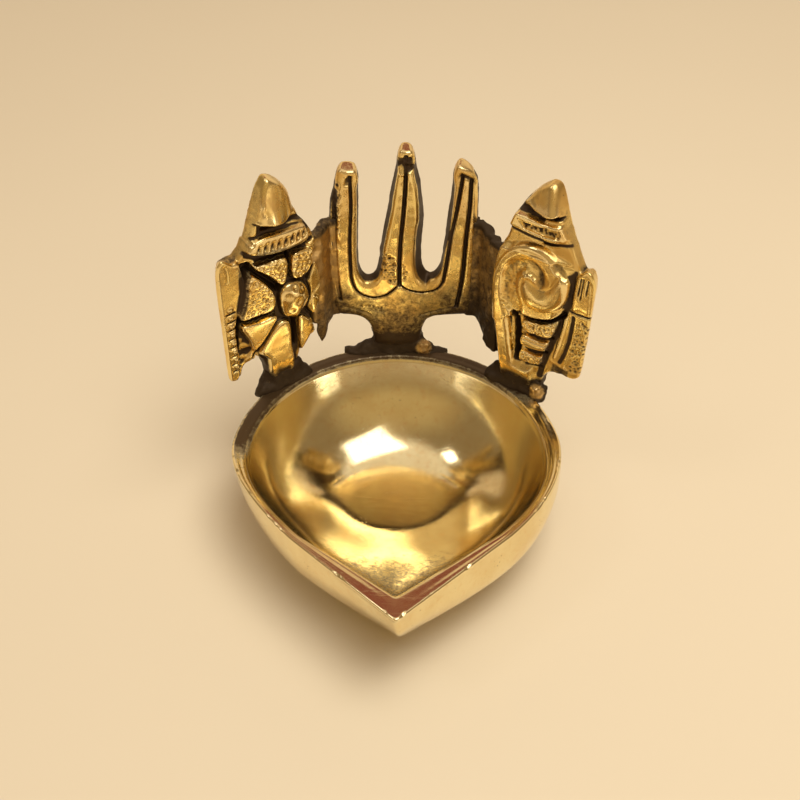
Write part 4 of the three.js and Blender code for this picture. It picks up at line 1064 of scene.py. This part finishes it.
def brass(slot, bright, deep, patina_and_painted_shade, dullness, grain, hairlines, spots):
    """Polished or cast brass for a slot, in patches of a bright and a deep tone, with the dark film that its
    recesses keep, also used for painted shade. dullness is its roughness, grain the height of its casting
    texture in millimetres, and spots how close its pits are."""
    material = BRASSES[slot] = bpy.data.materials.new(slot)
    material.use_nodes = True
    n = Nodes(material.node_tree)
    out = n.add("OutputMaterial")
    shader = n.add("BsdfPrincipled")
    n.put(out.inputs["Surface"], shader.outputs[0])
    place = n.add("TexCoord").outputs["Object"]
    scale = n.add("VectorMath", operation="SCALE")
    n.put(scale.inputs[0], place)
    scale.inputs["Scale"].default_value = 1 / MM
    where = scale.outputs[0]

    clouds = n.noise(where, 0.16, 3.0, 0.55)
    mottle = n.noise(where, 0.9, 4.0, 0.6, 0.6)
    specks = n.noise(where, 3.2, 3.0, 0.6)
    # film: the dark film attribute, which holds real patina and also painted shade, broken up by mottle and
    # specks and lifted where worn
    film = n.plus(n.fact("patina_and_painted_shade"), n.times(n.less(mottle, 0.5), 0.75))
    film = n.plus(film, n.times(n.less(specks, 0.5), 0.35))
    film = n.less(film, n.times(n.fact("worn"), 0.35))
    film = n.range(film, 0.20, 0.82)
    pits = n.range(n.cells(where, spots), 0.20, 0.08)
    pits = n.times(pits, n.range(n.noise(where, 0.28, 2.0), 0.50, 0.68))
    marks = scratches(n, where, hairlines)

    metal = n.mix(n.range(clouds, 0.35, 0.68), bright, deep)
    metal = n.mix(n.times(n.range(mottle, 0.50, 0.75), 0.35), metal, TARNISH)
    metal = n.mix(n.times(n.fact("worn"), 0.5), metal, RUBBED)
    colour = n.mix(n.math("MAXIMUM", film, n.times(pits, 0.85)), metal, patina_and_painted_shade)
    n.put(shader.inputs["Base Color"], colour)
    n.put(shader.inputs["Metallic"], n.range(film, 0.0, 1.0, 1.0, 0.55))
    rough = n.plus(n.range(clouds, 0.3, 0.7, dullness * 0.8, dullness * 1.25), n.times(n.less(specks, 0.5),
        dullness * 0.5))
    rough = n.plus(rough, n.times(film, 0.22))
    rough = n.less(rough, n.times(n.fact("worn"), dullness * 0.5))
    rough = n.plus(rough, n.times(marks, 0.03), clamp=True)
    n.put(shader.inputs["Roughness"], rough)
    normal = n.bump(n.noise(where, 1.1, 3.0, 0.5), 0.5, grain * MM)
    normal = n.bump(n.noise(where, 5.0, 3.0, 0.6), 0.5, 0.35 * grain * MM, normal)
    normal = n.bump(n.math("MAXIMUM", pits, n.times(marks, 0.10)), 0.6, -0.03 * MM, normal)
    n.put(shader.inputs["Normal"], normal)


# ---- Camera, floor and light -----------------------------------------------------------------------


CAMERA_TILT = 43  # degrees below the horizontal, matched to the photograph
CAMERA_AIM = (0.00068, 0.0141, 0.020)
CAMERA_AWAY = 0.210
FLOOR_REACH = 6.0


def camera():
    tilt = math.radians(CAMERA_TILT)
    forward = Vector((0, math.cos(tilt), -math.sin(tilt)))
    lens = bpy.data.cameras.new("camera")
    lens.lens = 50
    lens.sensor_width = 36
    lens.clip_start = 0.01
    eye = bpy.data.objects.new("camera", lens)
    eye.location = Vector(CAMERA_AIM) - forward * CAMERA_AWAY
    eye.rotation_mode = "QUATERNION"
    eye.rotation_quaternion = forward.to_track_quat("-Z", "Y")
    bpy.context.scene.collection.objects.link(eye)
    bpy.context.scene.camera = eye


def floor():
    mesh = bpy.data.meshes.new("floor")
    r = FLOOR_REACH
    mesh.from_pydata([(-r, -r, 0), (r, -r, 0), (r, r, 0), (-r, r, 0)], [], [(0, 1, 2, 3)])
    plane = bpy.data.objects.new("floor", mesh)
    bpy.context.scene.collection.objects.link(plane)
    material = bpy.data.materials.new("paper")
    material.use_nodes = True
    n = Nodes(material.node_tree)
    shader = n.add("BsdfPrincipled")
    n.put(n.add("OutputMaterial").inputs["Surface"], shader.outputs[0])
    where = n.add("TexCoord").outputs["Object"]
    paper = n.mix(n.noise(where, 9.0, 2.0), (0.645, 0.56, 0.42, 1), (0.672, 0.588, 0.445, 1))
    n.put(shader.inputs["Base Color"], paper)
    shader.inputs["Roughness"].default_value = 0.85
    mesh.materials.append(material)


def light(name, at, towards, size, power, colour, in_reflections=True, on_dull=True):
    lamp = bpy.data.lights.new(name, "AREA")
    lamp.shape = "RECTANGLE"
    lamp.size, lamp.size_y = size
    lamp.energy = power
    lamp.color = colour
    thing = bpy.data.objects.new(name, lamp)
    thing.location = at
    thing.rotation_mode = "QUATERNION"
    thing.rotation_quaternion = (Vector(towards) - Vector(at)).to_track_quat("-Z", "Y")
    thing.visible_camera = False
    thing.visible_glossy = in_reflections
    thing.visible_diffuse = on_dull
    bpy.context.scene.collection.objects.link(thing)


def sky():
    """A plain studio all round: a pale horizon, dim sides, a warmer front, a pale wall behind the
    lamp with a brown board over it, and a pale ceiling."""
    world = bpy.data.worlds.new("studio")
    bpy.context.scene.world = world
    world.use_nodes = True
    n = Nodes(world.node_tree)
    back = n.add("Background")
    n.put(n.add("OutputWorld").inputs["Surface"], back.outputs[0])
    way = n.add("SeparateXYZ")
    n.put(way.inputs[0], n.add("TexCoord").outputs["Generated"])
    x, y, z = way.outputs

    def above(degrees, soft=3.0):
        return n.range(z, math.sin(math.radians(degrees - soft)), math.sin(math.radians(degrees + soft)))

    horizon, sides, front = (0.60, 0.46, 0.31, 1), (0.27, 0.19, 0.105, 1), (0.50, 0.36, 0.18, 1)
    pale_wall, ceiling, brown_board = (0.80, 0.60, 0.40, 1), (0.86, 0.72, 0.58, 1), (0.25, 0.07, 0.05, 1)
    aside = n.math("ABSOLUTE", x)
    dim = n.mix(n.range(z, 0.04, 0.24), horizon, sides)
    wall = n.times(n.range(y, 0.25, 0.6), above(8, 8))
    before = n.times(n.range(y, -0.35, -0.8), above(14, 8))
    colour = n.mix(before, dim, front)
    colour = n.mix(wall, colour, pale_wall)
    colour = n.mix(above(62, 5), colour, ceiling)
    board = n.times(above(48.6, 0.8), n.less(1.0, above(61, 1.0)))
    board = n.times(board, n.times(n.range(aside, 0.30, 0.24), n.range(y, 0.0, 0.2)))
    colour = n.mix(board, colour, brown_board)
    n.put(back.inputs["Color"], colour)
    back.inputs["Strength"].default_value = 1.0


WHITE, WARM, AMBER = (1.0, 0.96, 0.90), (1.0, 0.95, 0.84), (1.0, 0.93, 0.80)
HAIR = (0.10, 3.2, 0.35)  # stretches of the noise that hairlines are cut from
UPRIGHT = (3.4, 3.4, 0.14)

camera()
floor()
sky()
light("key", (0.15, -0.03, 0.60), (0, 0, 0.01), (0.34, 0.34), 2.35, WARM, in_reflections=False)
light("top", (0.15, -0.17, 0.54), (0, 0, 0.02), (0.36, 0.32), 0.98, WHITE)
light("left", (-0.35, -0.06, 0.53), (0, 0, 0.03), (0.11, 0.11), 0.16, WHITE)
# two low ones, for gleams on the emblems
light("low_right", (0.56, -0.43, 0.05), (0, 0, 0.04), (0.22, 0.09), 0.16, AMBER, on_dull=False)
light("low_left", (-0.56, -0.43, 0.05), (0, 0, 0.04), (0.22, 0.09), 0.06, AMBER, on_dull=False)

brass("polished_brass", (0.90, 0.78, 0.46, 1), (0.84, 0.69, 0.38, 1), (0.075, 0.045, 0.02, 1), 0.13, 0.015,
    [((0, 0, a), HAIR) for a in (4, 84, 140)], 1.3)
brass("antiqued_brass", (0.92, 0.71, 0.28, 1), (0.76, 0.50, 0.16, 1), (0.05, 0.028, 0.012, 1), 0.27, 0.06,
    [((a, b, 0), UPRIGHT) for a, b in ((6, 4), (-8, -5), (20, 30))], 1.6)
brass("dark_brass", (0.62, 0.42, 0.18, 1), (0.45, 0.28, 0.10, 1), (0.045, 0.027, 0.012, 1), 0.38, 0.10,
    [((a, b, 0), UPRIGHT) for a, b in ((4, 2), (-8, 5))], 1.6)

bowl()
foot_plate()
naamam()
chakra()
shankha()
webs()
feet()

bpy.context.scene.view_settings.view_transform = "Standard"
